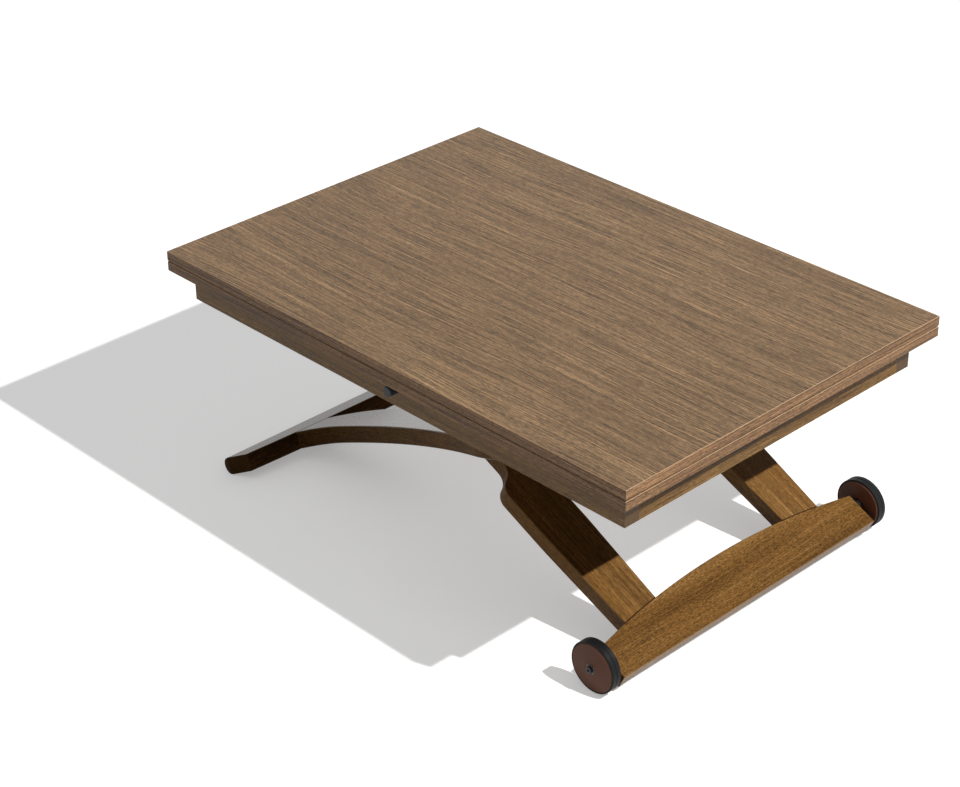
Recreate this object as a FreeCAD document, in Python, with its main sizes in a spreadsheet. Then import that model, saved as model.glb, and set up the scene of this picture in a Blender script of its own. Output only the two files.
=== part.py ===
import FreeCAD, Part
import Sketcher
import math
import os
import re

# Convertible coffee and dining table. Two stacked leaves swivel and unfold on an apron frame,
# which a scissor of two wooden frames, one on wheels, lifts from coffee to dining height.
# The origin lies on the floor under the middle of the top; +X is the wheel end, +Z is up.
doc = FreeCAD.newDocument("convertible_table")

# Driving dimensions, in millimetres and degrees.
driving = {
    # Top leaves
    "top_length": "1100",
    "top_width": "760",
    "table_height": "436",
    "leaf_thickness": "18.6",
    "leaf_gap": "1.2",
    "leaf_arris": "0.8",
    "leaf_pad_width": "12",
    "leaf_pad_inset": "45",
    # Hinges along the far edge
    "hinge_offset": "0.3",
    "hinge_length": "64",
    "hinge_plate_width": "30",
    "hinge_plate_thickness": "1.6",
    "knuckle_radius": "2.6",
    "hinge_pin_radius": "1.3",
    "hinge_spacing": "400",
    # Apron
    "apron_end_setback": "31",
    "apron_side_setback": "33",
    "rail_height": "57.4",
    "long_rail_thickness": "32",
    "short_rail_thickness": "28",
    "corner_block_leg": "64",
    "corner_block_height": "40",
    "glide_thickness": "1",
    "glide_width": "22",
    # Swivel
    "swivel_board_width": "160",
    "swivel_board_thickness": "10",
    "swivel_plate_radius": "66",
    "swivel_plate_thickness": "4",
    "stud_radius": "8",
    "stud_tail": "12",
    "stop_pin_radius": "4",
    "stop_pin_orbit": "45",
    "stop_pin_length": "8",
    "swivel_washer_radius": "18",
    "swivel_washer_thickness": "2",
    "swivel_nut_radius": "14",
    "swivel_nut_height": "8",
    "swivel_turn": "90",
    # Scissor frames
    "frame_board_thickness": "30",
    "foot_board_thickness": "33",
    "wheel_frame_tilt": "25.7",
    "lift_angle": "35",
    "axle_reach": "456",
    "axle_edge": "44",
    "axle_depth": "11",
    "foot_reach": "458",
    "crossing_x": "43",
    "shaft_slope_extra": "1.2",
    "pivot_drop": "41",
    "leg_overrun": "17",
    "leg_nose": "13",
    "leg_rail_gap": "30",
    "crossing_gap": "1.5",
    "crossing_pin_radius": "6",
    "crossing_head_radius": "12",
    "crossing_head_height": "5",
    "crossing_nut_radius": "9",
    "crossing_nut_depth": "20",
    "board_arris": "1.3",
    # Wheel bar and its legs
    "wheel_bar_end_width": "62",
    "wheel_bar_mid_width": "95",
    "grip_lip": "4",
    "grip_reach": "7",
    "grip_stop": "4",
    "grip_runout": "88",
    "wheel_belly_width": "94",
    "wheel_leg_taper": "6",
    "wheel_leg_step": "37.5",
    "wheel_belly_start": "264",
    "wheel_belly_end": "362",
    "wheel_swerve_length": "60",
    # Foot bar and its legs
    "foot_setback": "34",
    "foot_bar_end_width": "36",
    "foot_bar_mid_width": "58",
    "foot_leg_width": "85",
    "foot_leg_upper_width": "72",
    "foot_leg_splay": "91",
    "foot_flare_width": "26",
    "foot_flare_length": "100",
    "foot_inner_flare_width": "39",
    "foot_inner_flare_length": "150",
    "foot_outer_swerve_end": "720",
    "foot_inner_swerve_start": "215",
    "foot_inner_swerve_end": "514",
    # Dowels between bars and legs
    "dowel_radius": "5",
    "dowel_length": "50",
    "dowel_spread": "14",
    # Wheels and axle
    "wheel_radius": "46",
    "wheel_width": "21",
    "wheel_setback": "33",
    "tyre_depth": "2.6",
    "tyre_inset": "1.2",
    "rim_bevel": "2",
    "tyre_bevel": "1.2",
    "tread_groove_width": "2.4",
    "tread_groove_depth": "0.8",
    "hub_radius": "12",
    "hub_rise": "3.2",
    "bush_radius": "9",
    "axle_radius": "5",
    "axle_washer_radius": "8.5",
    "axle_washer_thickness": "1.2",
    "axle_bolt_head_radius": "5.6",
    "axle_bolt_head_height": "3",
    "axle_bolt_socket_radius": "2.8",
    "axle_bolt_socket_depth": "1.8",
    "axle_bolt_shank_radius": "3",
    "axle_bolt_shank_length": "16",
    "spacer_radius": "10",
    "spacer_room": "8.5",
    # Lift shaft, rollers and tracks
    "shaft_radius": "6",
    "flange_length": "56",
    "flange_height": "30",
    "flange_thickness": "7",
    "collar_radius": "11",
    "collar_width": "10",
    "roller_radius": "10",
    "roller_width": "14",
    "roller_cap_radius": "8",
    "roller_cap_thickness": "2",
    "track_depth": "26",
    "track_wall": "2.4",
    "track_slack": "0.5",
    # Height lock and its release
    "knob_place": "15",
    "knob_drop": "18",
    "knob_radius": "9.5",
    "knob_length": "24",
    "knob_bevel": "1.5",
    "rod_radius": "4",
    "rod_tail": "30",
    "release_travel": "12",
    "link_thickness": "6",
    "link_height": "12",
    "lock_orbit": "28",
    "lock_pin_radius": "4",
    "lock_guide_depth": "18",
    "lock_disc_radius": "34",
    "lock_disc_thickness": "4",
    "lock_screw_radius": "3.5",
    "lock_screw_height": "2",
    "spring_radius": "5.4",
    "spring_wire": "1.2",
    "spring_wire_sides": "6",
    "spring_pitch": "3.75",
    "spring_turns": "4",
    # Clearances
    "running_gap": "0.05",
    "seat_gap": "0.3",
    "overrun": "2",
}

# Places worked out from the driving dimensions. Slopes are in degrees.
derived = {
    "leaf_under": "table_height - 2 * leaf_thickness - leaf_gap",
    "frame_top": "leaf_under - glide_thickness",
    "frame_bottom": "frame_top - rail_height",
    "frame_half_length": "top_length / 2 - apron_end_setback",
    "frame_half_width": "top_width / 2 - apron_side_setback",
    "rail_face": "frame_half_width - long_rail_thickness",
    "hinge_y": "top_width / 2 + hinge_offset",
    "hinge_z": "table_height - leaf_thickness - leaf_gap / 2",
    "swivel_place": "top_width / 4",
    "swivel_board_top": "leaf_under - swivel_plate_thickness - seat_gap",
    "swivel_board_under": "swivel_board_top - swivel_board_thickness",
    "foot_nose": "foot_board_thickness / 2",
    "axle_offset": "frame_board_thickness / 2 - axle_depth",
    # The crossing lies on the wheel frame's middle plane; the foot frame's slope follows from it.
    "crossing_run": "(axle_reach - crossing_x - axle_offset * sin(wheel_frame_tilt)) / cos(wheel_frame_tilt)",
    "crossing_z": "wheel_radius + crossing_run * sin(wheel_frame_tilt) - axle_offset * cos(wheel_frame_tilt)",
    "foot_run": "sqrt((crossing_x + foot_reach)^2 + (crossing_z - foot_nose)^2)",
    "foot_tilt": "atan((crossing_z - foot_nose) / (crossing_x + foot_reach)) / 1deg",
    # The foot frame turns until its nose is on the floor again under the raised crossing.
    "crossing_rise": "crossing_z - wheel_radius",
    "crossing_lift": "crossing_rise * cos(lift_angle) + (axle_reach - crossing_x) * sin(lift_angle)",
    "foot_turn": "asin((wheel_radius + crossing_lift - foot_nose) / foot_run) / 1deg - foot_tilt",
    # Both upper pivots stand at one height over the crossing, lowered and raised.
    "pivot_z": "frame_top - pivot_drop",
    "pivot_rise": "pivot_z - crossing_z",
    "shaft_reach": "pivot_rise / tan(wheel_frame_tilt + shaft_slope_extra)",
    "pivot_rise_raised": "pivot_rise * cos(lift_angle) + shaft_reach * sin(lift_angle)",
    "roller_reach": "(pivot_rise_raised - pivot_rise * cos(foot_turn)) / sin(foot_turn)",
    "shaft_x": "crossing_x - shaft_reach",
    "roller_x": "crossing_x + roller_reach",
    "shaft_reach_raised": "shaft_reach * cos(lift_angle) - pivot_rise * sin(lift_angle)",
    "roller_reach_raised": "roller_reach * cos(foot_turn) - pivot_rise * sin(foot_turn)",
    "roller_x_raised": "shaft_x + shaft_reach_raised + roller_reach_raised",
    # Halfway up the roller runs a little lower, so its track sags.
    "pivot_rise_half": "pivot_rise * cos(lift_angle / 2) + shaft_reach * sin(lift_angle / 2)",
    "roller_rise_half": "pivot_rise * cos(foot_turn / 2) + roller_reach * sin(foot_turn / 2)",
    "track_sag": "pivot_rise_half - roller_rise_half",
    "wheel_leg_end": "crossing_run + sqrt(shaft_reach^2 + pivot_rise^2) + leg_overrun",
    "foot_leg_end": "foot_run + sqrt(roller_reach^2 + pivot_rise^2) + leg_overrun",
    # The legs are set in from the rails, the foot legs outside the wheel legs.
    "foot_leg_upper_outer": "rail_face - leg_rail_gap",
    "foot_leg_upper_inner": "foot_leg_upper_outer - foot_leg_upper_width",
    "foot_leg_outer": "foot_leg_upper_outer - foot_leg_splay",
    "foot_leg_inner": "foot_leg_outer - foot_leg_width",
    "wheel_leg_upper_outer": "foot_leg_upper_inner - crossing_gap",
    "wheel_belly_outer": "wheel_leg_upper_outer + wheel_leg_step",
    "wheel_belly_inner": "wheel_belly_outer - wheel_belly_width",
    "wheel_leg_outer": "wheel_belly_outer - wheel_leg_taper",
    "wheel_leg_inner": "wheel_belly_inner + wheel_leg_taper",
    "wheel_outer_face": "top_width / 2 - wheel_setback",
    "wheel_inner_face": "wheel_outer_face - wheel_width",
    "wheel_bar_length": "2 * (wheel_inner_face - spacer_room)",
    "foot_bar_length": "top_width - 2 * foot_setback",
    "foot_flare_bow": "(foot_flare_length^2 + foot_flare_width^2) / (2 * foot_flare_width)",
    "foot_toe_inner": "foot_leg_inner + foot_inner_flare_width",
    "wheel_bar_rise": "wheel_bar_mid_width - wheel_bar_end_width",
    "wheel_bar_bow": "((wheel_bar_length / 2)^2 + wheel_bar_rise^2) / (2 * wheel_bar_rise)",
    "foot_bar_rise": "foot_bar_mid_width - foot_bar_end_width",
    "foot_bar_bow": "((foot_bar_length / 2)^2 + foot_bar_rise^2) / (2 * foot_bar_rise)",
    "grip_height": "frame_board_thickness - grip_lip",
    "grip_slope": "atan(grip_reach / grip_height) / 1deg",
    "grip_length": "sqrt(grip_reach^2 + grip_height^2)",
    "grip_depth": "grip_reach * grip_height / grip_length",
    "hub_face": "wheel_outer_face + hub_rise",
    "disc_radius": "wheel_radius - tyre_depth",
    "axle_end": "hub_face + seat_gap",
    "washer_face": "axle_end + axle_washer_thickness",
    "track_face": "rail_face - track_depth",
    "roller_outer": "rail_face - track_wall - seat_gap",
    "roller_inner": "roller_outer - roller_width",
    "knob_z": "frame_top - knob_drop",
    "link_face": "rail_face - rod_tail",
    "lock_rise": "knob_z - pivot_z",
    "lock_x": "shaft_x + sqrt(lock_orbit^2 - lock_rise^2)",
    "lock_rest_angle": "atan(lock_rise / sqrt(lock_orbit^2 - lock_rise^2)) / 1deg",
    "lock_disc_face": "wheel_leg_upper_outer + lock_disc_thickness",
    "stop_slack_angle": "asin((stop_pin_radius + seat_gap) / stop_pin_orbit) / 1deg",
}


def formula(text):
    """The same formula with each size and place named by its sheet."""
    def sheet_name(match):
        word = match.group()
        if word in driving:
            return "sizes." + word
        if word in derived:
            return "places." + word
        return word
    return re.sub(r"[a-z][a-z0-9_]*", sheet_name, text)


sizes = doc.addObject("Spreadsheet::Sheet", "sizes")
for row, (word, value) in enumerate(driving.items(), start=1):
    sizes.set(f"A{row}", word)
    sizes.set(f"B{row}", value)
    sizes.setAlias(f"B{row}", word)
places = doc.addObject("Spreadsheet::Sheet", "places")
for row, (word, value) in enumerate(derived.items(), start=1):
    places.set(f"A{row}", word)
    places.setAlias(f"B{row}", word)
    places.set(f"B{row}", "=" + formula(value))
doc.recompute()

X_AXIS = FreeCAD.Vector(1, 0, 0)
Y_AXIS = FreeCAD.Vector(0, 1, 0)
Z_AXIS = FreeCAD.Vector(0, 0, 1)
parts = {}


def number(text):
    return float(sizes.evalExpression(formula(text)))


def bind(item, **links):
    for setting, text in links.items():
        item.setExpression(setting, formula(text))


def place(item, x="0", y="0", z="0", axis=Z_AXIS, angle="0"):
    item.Placement = FreeCAD.Placement(FreeCAD.Vector(), FreeCAD.Rotation(axis, number(angle)))
    item.setExpression("Placement.Base.x", formula(x))
    item.setExpression("Placement.Base.y", formula(y))
    item.setExpression("Placement.Base.z", formula(z))
    item.setExpression("Placement.Rotation.Angle", formula(angle))


def keep(label, item):
    """Names a finished sub-part, which is written to a file of that name."""
    item.Label = label
    parts[label] = item
    return item


# Solids that lie along the axes

def box(name, x_range, y_range, z_range):
    item = doc.addObject("Part::Box", name)
    bind(item, Length=f"({x_range[1]}) - ({x_range[0]})")
    bind(item, Width=f"({y_range[1]}) - ({y_range[0]})")
    bind(item, Height=f"({z_range[1]}) - ({z_range[0]})")
    place(item, x_range[0], y_range[0], z_range[0])
    return item


def square_pad(name, width, x, y, z_range):
    x_range = (f"({x}) - {width} / 2", f"({x}) + {width} / 2")
    y_range = (f"({y}) - {width} / 2", f"({y}) + {width} / 2")
    return box(name, x_range, y_range, z_range)


def rod_z(name, radius, x, y, z_range):
    item = doc.addObject("Part::Cylinder", name)
    bind(item, Radius=radius, Height=f"({z_range[1]}) - ({z_range[0]})")
    place(item, x, y, z_range[0])
    return item


def rod_y(name, radius, x, z, y_range):
    item = doc.addObject("Part::Cylinder", name)
    bind(item, Radius=radius, Height=f"({y_range[1]}) - ({y_range[0]})")
    place(item, x, y_range[0], z, X_AXIS, "-90")
    return item


def rod_x(name, radius, y, z, x_range):
    item = doc.addObject("Part::Cylinder", name)
    bind(item, Radius=radius, Height=f"({x_range[1]}) - ({x_range[0]})")
    place(item, x_range[0], y, z, Y_AXIS, "90")
    return item


def joined(name, pieces):
    item = doc.addObject("Part::MultiFuse", name)
    item.Shapes = pieces
    return item


def group(name, pieces):
    item = doc.addObject("Part::Compound", name)
    item.Links = pieces
    return item


def cut(name, base, tools):
    item = doc.addObject("Part::Cut", name)
    item.Base = base
    item.Tool = tools[0] if len(tools) == 1 else joined(name + "_cutters", tools)
    return item


def mirrored(name, source):
    """The far-side twin of a near-side piece."""
    item = doc.addObject("Part::Mirroring", name)
    item.Source = source
    item.Normal = Y_AXIS
    item.Base = FreeCAD.Vector()
    return item


def shifted(name, source, x="0", y="0", z="0"):
    item = doc.addObject("App::Link", name)
    item.LinkedObject = source
    place(item, x, y, z)
    return item


def both_sides(label, near):
    """A near piece and its far twin as one group of two solids."""
    near.Label = label + "_near_one"
    return keep(label, group(label, [near, mirrored(label + "_far_one", near)]))


# Outlines drawn through corners, as straight runs and arcs

def origin_part(body, role):
    for item in body.Origin.OriginFeatures:
        if item.Role == role:
            return item


def draw(sketch, corners):
    """A closed outline, drawn with its inside on the left.

    A corner is (x, y), or (x, y, bend, radius) where an arc leads from it to the next one:
    the bend "out" swells the outline and "in" hollows it.
    """
    spots = [FreeCAD.Vector(number(corner[0]), number(corner[1]), 0) for corner in corners]
    runs = []
    for place_in_list, corner in enumerate(corners):
        start = spots[place_in_list]
        end = spots[(place_in_list + 1) % len(spots)]
        if len(corner) == 2:
            run = sketch.addGeometry(Part.LineSegment(start, end))
            runs.append((run, 1, 2))
            continue
        bend, radius = corner[2:]
        size = number(radius)
        half = (end - start) / 2
        left = FreeCAD.Vector(-half.y, half.x, 0).normalize()
        if bend == "in":
            left = -left
        centre = start + half + left * math.sqrt(max(size ** 2 - half.Length ** 2, 0))
        crown = centre - left * size
        if bend == "out":
            run = sketch.addGeometry(Part.Arc(start, crown, end))
            runs.append((run, 1, 2))
        else:
            run = sketch.addGeometry(Part.Arc(end, crown, start))
            runs.append((run, 2, 1))
        limit = sketch.addConstraint(Sketcher.Constraint("Radius", run, size))
        sketch.setExpression(f"Constraints[{limit}]", formula(radius))
    for place_in_list, corner in enumerate(corners):
        before = runs[place_in_list - 1]
        after = runs[place_in_list]
        sketch.addConstraint(Sketcher.Constraint("Coincident", before[0], before[2], after[0], after[1]))
        for kind, text in (("DistanceX", corner[0]), ("DistanceY", corner[1])):
            limit = sketch.addConstraint(
                Sketcher.Constraint(kind, -1, 1, after[0], after[1], number(text)))
            sketch.setExpression(f"Constraints[{limit}]", formula(text))


def swerve(start, end, first_bend, first_share="0.5"):
    """Two arcs that carry an edge sideways and leave it parallel to where it began."""
    run = f"(({end[0]}) - ({start[0]}))"
    shift = f"(({end[1]}) - ({start[1]}))"
    bow = f"(({run})^2 + ({shift})^2) / (2 * abs({shift}))"
    middle = (f"({start[0]}) + {run} * {first_share}", f"({start[1]}) + {shift} * {first_share}")
    second_bend = "in" if first_bend == "out" else "out"
    return [
        (*start, first_bend, f"({bow}) * {first_share}"),
        (*middle, second_bend, f"({bow}) * (1 - {first_share})"),
    ]


def new_body(name):
    return doc.addObject("PartDesign::Body", name)


def add_sketch(body, name, plane, corners, offset="0"):
    sketch = body.newObject("Sketcher::SketchObject", name)
    sketch.AttachmentSupport = [(origin_part(body, plane), "")]
    sketch.MapMode = "FlatFace"
    sketch.setExpression("AttachmentOffset.Base.z", formula(offset))
    draw(sketch, corners)
    return sketch


def pad(name, corners, thickness, bottom="0", arris=None, round_end=None, nose=None):
    """A board: an outline in plan, its thickness, its eased arrises and a rounded end."""
    body = new_body(name)
    sketch = add_sketch(body, name + "_outline", "XY_Plane", corners, bottom)
    solid = body.newObject("PartDesign::Pad", name + "_pad")
    solid.Profile = sketch
    bind(solid, Length=thickness)
    doc.recompute()
    if round_end:
        rounded = body.newObject("PartDesign::Fillet", name + "_nose")
        rounded.Base = (solid, edges_at(solid.Shape, number(round_end)))
        bind(rounded, Radius=nose)
        doc.recompute()
        solid = rounded
    if arris:
        eased = body.newObject("PartDesign::Chamfer", name + "_arris")
        eased.Base = (solid, rim_edges(solid.Shape))
        bind(eased, Size=arris)
        doc.recompute()
    return body


def edges_at(shape, x):
    """The long edges of the end face that stands at x."""
    slack = number("running_gap")
    return [
        f"Edge{spot}" for spot, edge in enumerate(shape.Edges, start=1)
        if all(abs(vertex.X - x) < slack for vertex in edge.Vertexes)
        and edge.BoundBox.ZLength < slack
    ]


def rim_edges(shape):
    """The sharp edges round a board's upper and lower faces."""
    chosen = []
    for spot, edge in enumerate(shape.Edges, start=1):
        faces = shape.ancestorsOfType(edge, Part.Face)
        level = [face for face in faces if face.BoundBox.ZLength < number("running_gap")]
        upright = [face for face in faces if not is_nose(face) and face not in level]
        if len(level) == 1 and len(upright) == 1:
            chosen.append(f"Edge{spot}")
    return chosen


def is_nose(face):
    """A nose turns about the board's width, where an upright curve turns about its thickness."""
    if face.Surface.TypeId != "Part::GeomCylinder":
        return False
    return abs(face.Surface.Axis.y) > abs(face.Surface.Axis.z)


def rectangle(x_range, y_range):
    return [
        (x_range[0], y_range[0]),
        (x_range[1], y_range[0]),
        (x_range[1], y_range[1]),
        (x_range[0], y_range[1]),
    ]


def board(name, x_range, y_range, z_range, arris):
    return pad(name, rectangle(x_range, y_range), f"({z_range[1]}) - ({z_range[0]})", z_range[0], arris)


def turned(name, corners, x, y, z):
    """A piece turned about its Y axis from a profile of radius and depth."""
    body = new_body(name)
    sketch = add_sketch(body, name + "_profile", "XY_Plane", corners)
    solid = body.newObject("PartDesign::Revolution", name + "_turn")
    solid.Profile = sketch
    solid.ReferenceAxis = (origin_part(body, "Y_Axis"), [""])
    place(body, x, y, z)
    doc.recompute()
    return body


def ring_y(name, outer, inner, x, z, y_range):
    hole_range = (f"({y_range[0]}) - overrun", f"({y_range[1]}) + overrun")
    return cut(name, rod_y(name + "_outer", outer, x, z, y_range),
               [rod_y(name + "_inner", inner, x, z, hole_range)])


# Top leaves. The lower one swivels on the frame, the upper one folds over at the far edge.
half_top = ("-top_length / 2", "top_length / 2")
half_side = ("-top_width / 2", "top_width / 2")
hinge_spots = ("-hinge_spacing", "0", "hinge_spacing")
lower_range = ("leaf_under", "leaf_under + leaf_thickness")
upper_range = ("table_height - leaf_thickness", "table_height")


def hinge_seat(name, z_range):
    """Mortises for the hinge plates of one leaf, with room for the knuckles."""
    half_length = "hinge_length / 2 + seat_gap"
    along = (f"-({half_length})", half_length)
    across = ("hinge_y - hinge_plate_width - seat_gap", "hinge_y + overrun")
    mortise = box(name + "_mortise", along, across, z_range)
    barrel = rod_x(name + "_barrel", "knuckle_radius + seat_gap", "hinge_y", "hinge_z", along)
    seat = joined(name, [mortise, barrel])
    links = [shifted(f"{name}_{spot}", seat, x) for spot, x in enumerate(hinge_spots)]
    return group(name + "s", links)


lower_board = board("lower_leaf_board", half_top, half_side, lower_range, "leaf_arris")
lower_seats = hinge_seat(
    "lower_hinge_seat",
    (f"{lower_range[1]} - hinge_plate_thickness - running_gap", f"{lower_range[1]} + overrun"))
keep("lower_leaf", cut("lower_leaf", lower_board, [lower_seats]))
upper_board = board("upper_leaf_board", half_top, half_side, upper_range, "leaf_arris")
upper_seats = hinge_seat(
    "upper_hinge_seat",
    (f"{upper_range[0]} - overrun", f"{upper_range[0]} + hinge_plate_thickness + running_gap"))
keep("upper_leaf", cut("upper_leaf", upper_board, [upper_seats]))

# Pads on the lower leaf keep the two faces apart.
pad_reach_x = "top_length / 2 - leaf_pad_inset"
pad_reach_y = "top_width / 2 - leaf_pad_inset"
pad_range = (lower_range[1], f"{upper_range[0]} - running_gap")
leaf_pads = []
for side_x in (f"-({pad_reach_x})", "0", pad_reach_x):
    for side_y in (f"-({pad_reach_y})", f"{pad_reach_y} - hinge_plate_width"):
        leaf_pads.append(square_pad(f"leaf_pad_{len(leaf_pads)}", "leaf_pad_width", side_x, side_y, pad_range))
keep("leaf_pads", group("leaf_pads", leaf_pads))


# Hinges. Two end knuckles ride on the lower leaf and the middle one on the upper leaf.
third = "hinge_length / 6"
hinge_half = "hinge_length / 2"
hinge_thirds = (
    (f"-({hinge_half})", f"-({third}) - seat_gap / 2"),
    (f"-({third}) + seat_gap / 2", f"{third} - seat_gap / 2"),
    (f"{third} + seat_gap / 2", hinge_half),
)


def hinge_half_leaf(name, z_range, own_thirds, other_thirds):
    plate = box(name + "_plate", (f"-({hinge_half})", hinge_half),
                ("hinge_y - hinge_plate_width", "hinge_y"), z_range)
    knuckles = [
        rod_x(f"{name}_knuckle_{spot}", "knuckle_radius", "hinge_y", "hinge_z", hinge_thirds[spot])
        for spot in own_thirds
    ]
    hole = rod_x(name + "_hole", "hinge_pin_radius + running_gap", "hinge_y", "hinge_z",
                 (f"-({hinge_half}) - overrun", f"{hinge_half} + overrun"))
    notches = []
    for spot in other_thirds:
        low, high = hinge_thirds[spot]
        low = f"{low} - overrun" if spot == 0 else f"{low} - seat_gap"
        high = f"{high} + overrun" if spot == 2 else f"{high} + seat_gap"
        notches.append(box(f"{name}_notch_{spot}", (low, high),
                           ("hinge_y - knuckle_radius - seat_gap", "hinge_y + knuckle_radius"),
                           ("hinge_z - knuckle_radius - overrun", "hinge_z + knuckle_radius + overrun")))
    notched = cut(name + "_notched", plate, notches)
    return cut(name, joined(name + "_solid", [notched, *knuckles]), [hole])


def along_far_edge(label, one):
    links = [shifted(f"{label}_{spot}", one, x) for spot, x in enumerate(hinge_spots)]
    return keep(label, group(label, links))


lower_plate_range = (f"{lower_range[1]} - hinge_plate_thickness", lower_range[1])
upper_plate_range = (upper_range[0], f"{upper_range[0]} + hinge_plate_thickness")
along_far_edge("hinge_plates_lower", hinge_half_leaf("lower_plate", lower_plate_range, (0, 2), (1,)))
along_far_edge("hinge_plates_upper", hinge_half_leaf("upper_plate", upper_plate_range, (1,), (0, 2)))
hinge_pin = rod_x("hinge_pin_rod", "hinge_pin_radius", "hinge_y", "hinge_z", (f"-({hinge_half})", hinge_half))
along_far_edge("hinge_pins", group("hinge_pin", [hinge_pin]))

# Swivel under the lower leaf: a plate with a stud, a stop pin in a curved slot, washer and nut.
swivel_at = ("swivel_place", "swivel_place")
plate_under = "leaf_under - swivel_plate_thickness"
nut_top = "swivel_board_under - seat_gap - swivel_washer_thickness"
stud_end = "swivel_board_under - stud_tail"
swivel_disc = rod_z("swivel_disc", "swivel_plate_radius", *swivel_at, (plate_under, "leaf_under"))
swivel_stud = rod_z("swivel_stud", "stud_radius", *swivel_at, (stud_end, plate_under))
keep("swivel_plate", joined("swivel_plate", [swivel_disc, swivel_stud]))
stop_x = "swivel_place - stop_pin_orbit"
stop_range = (f"{plate_under} - stop_pin_length", plate_under)
keep("swivel_stop_pin", rod_z("swivel_stop_pin", "stop_pin_radius", stop_x, "swivel_place", stop_range))


def stud_hole(name, z_range):
    through = (f"({z_range[0]}) - overrun", f"({z_range[1]}) + overrun")
    return rod_z(name, "stud_radius + running_gap", *swivel_at, through)


washer_range = (nut_top, f"{nut_top} + swivel_washer_thickness")
washer_disc = rod_z("swivel_washer_disc", "swivel_washer_radius", *swivel_at, washer_range)
keep("swivel_washer", cut("swivel_washer", washer_disc, [stud_hole("swivel_washer_hole", washer_range)]))
nut_range = (f"{nut_top} - swivel_nut_height", nut_top)
nut_prism = doc.addObject("Part::Prism", "swivel_nut_prism")
nut_prism.Polygon = 6
bind(nut_prism, Circumradius="swivel_nut_radius", Height="swivel_nut_height")
place(nut_prism, *swivel_at, nut_range[0])
keep("swivel_nut", cut("swivel_nut", nut_prism, [stud_hole("swivel_nut_hole", nut_range)]))

# Swivel board between the long rails, with the stud hole and the quarter-turn slot.
swivel_board_range = ("swivel_board_under", "swivel_board_top")
swivel_blank = board(
    "swivel_board_blank",
    ("swivel_place - swivel_board_width / 2", "swivel_place + swivel_board_width / 2"),
    ("-rail_face", "rail_face"), swivel_board_range, None)
slot_range = ("swivel_board_under - overrun", "swivel_board_top + overrun")
slot_sector = rod_z("stop_slot_sector", "stop_pin_orbit + stop_pin_radius + seat_gap", *swivel_at, slot_range)
bind(slot_sector, Angle="swivel_turn + 2 * stop_slack_angle")
place(slot_sector, *swivel_at, slot_range[0], Z_AXIS, "180 - stop_slack_angle")
slot_core = rod_z("stop_slot_core", "stop_pin_orbit - stop_pin_radius - seat_gap", *swivel_at, slot_range)
stop_slot = cut("stop_slot", slot_sector, [slot_core])
keep("swivel_board", cut("swivel_board", swivel_blank,
                         [stop_slot, stud_hole("swivel_board_hole", swivel_board_range)]))

# Apron frame. The long rails run through, the short ones butt between them.
rail_range = ("frame_bottom", "frame_top")
frame_along = ("-frame_half_length", "frame_half_length")
near_across = ("-frame_half_width", "-rail_face")
far_across = ("rail_face", "frame_half_width")
between = ("-rail_face", "rail_face")
near_blank = board("near_long_rail_board", frame_along, near_across, rail_range, "board_arris")
knob_bore = rod_y("knob_bore", "rod_radius + running_gap", "knob_place", "knob_z",
                  ("-frame_half_width - overrun", "-rail_face + overrun"))
lock_guide = rod_y("lock_guide", "lock_pin_radius + running_gap", "lock_x", "knob_z",
                   ("-rail_face - lock_guide_depth", "-rail_face + overrun"))
keep("near_long_rail", cut("near_long_rail", near_blank, [knob_bore, lock_guide]))
keep("far_long_rail", board("far_long_rail", frame_along, far_across, rail_range, "board_arris"))
wheel_end = ("frame_half_length - short_rail_thickness", "frame_half_length")
foot_end = ("-frame_half_length", "-frame_half_length + short_rail_thickness")
keep("wheel_end_rail", board("wheel_end_rail", wheel_end, between, rail_range, "board_arris"))
keep("foot_end_rail", board("foot_end_rail", foot_end, between, rail_range, "board_arris"))

# Corner blocks brace the rails from inside, a triangle in each corner.
block_x = "frame_half_length - short_rail_thickness"
block_z = "(frame_top + frame_bottom - corner_block_height) / 2"
near_wheel_corner = [
    (block_x, "-rail_face"),
    (block_x, "-rail_face + corner_block_leg"),
    (f"{block_x} - corner_block_leg", "-rail_face"),
]
near_foot_corner = [
    (f"-({block_x})", "-rail_face"),
    (f"-({block_x}) + corner_block_leg", "-rail_face"),
    (f"-({block_x})", "-rail_face + corner_block_leg"),
]
blocks = [
    pad("wheel_corner_block", near_wheel_corner, "corner_block_height", block_z),
    pad("foot_corner_block", near_foot_corner, "corner_block_height", block_z),
]
blocks += [mirrored(block.Name + "_far", block) for block in blocks]
keep("corner_blocks", group("corner_blocks", blocks))

# Glides on the rails' upper edges carry the lower leaf while it turns.
glide_y = "frame_half_width - long_rail_thickness / 2"
glide_range = ("frame_top", "leaf_under")
glide_x_shares = (-0.86, -0.3, 0.3, 0.86)
glides = []
for share in glide_x_shares:
    for side in ("-", ""):
        glides.append(square_pad(f"top_glide_{len(glides)}", "glide_width", f"frame_half_length * {share}",
                                 f"{side}({glide_y})", glide_range))
keep("top_glides", group("top_glides", glides))


# Wheel frame, drawn flat about the axle with its upper end towards -X, then tilted.
def wheel_frame_place(item):
    place(item, "axle_reach", "0", "wheel_radius", Y_AXIS, "wheel_frame_tilt")


board_bottom = "axle_depth - frame_board_thickness"
bar_edge = "axle_edge"
bar_half = "wheel_bar_length / 2"
bar_end_back = "axle_edge - wheel_bar_end_width"


def wheel_bar_back(across):
    """The bowed upper edge of the wheel bar at a distance from its middle."""
    return f"(axle_edge - wheel_bar_mid_width + wheel_bar_bow - sqrt(wheel_bar_bow^2 - ({across})^2))"


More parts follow.
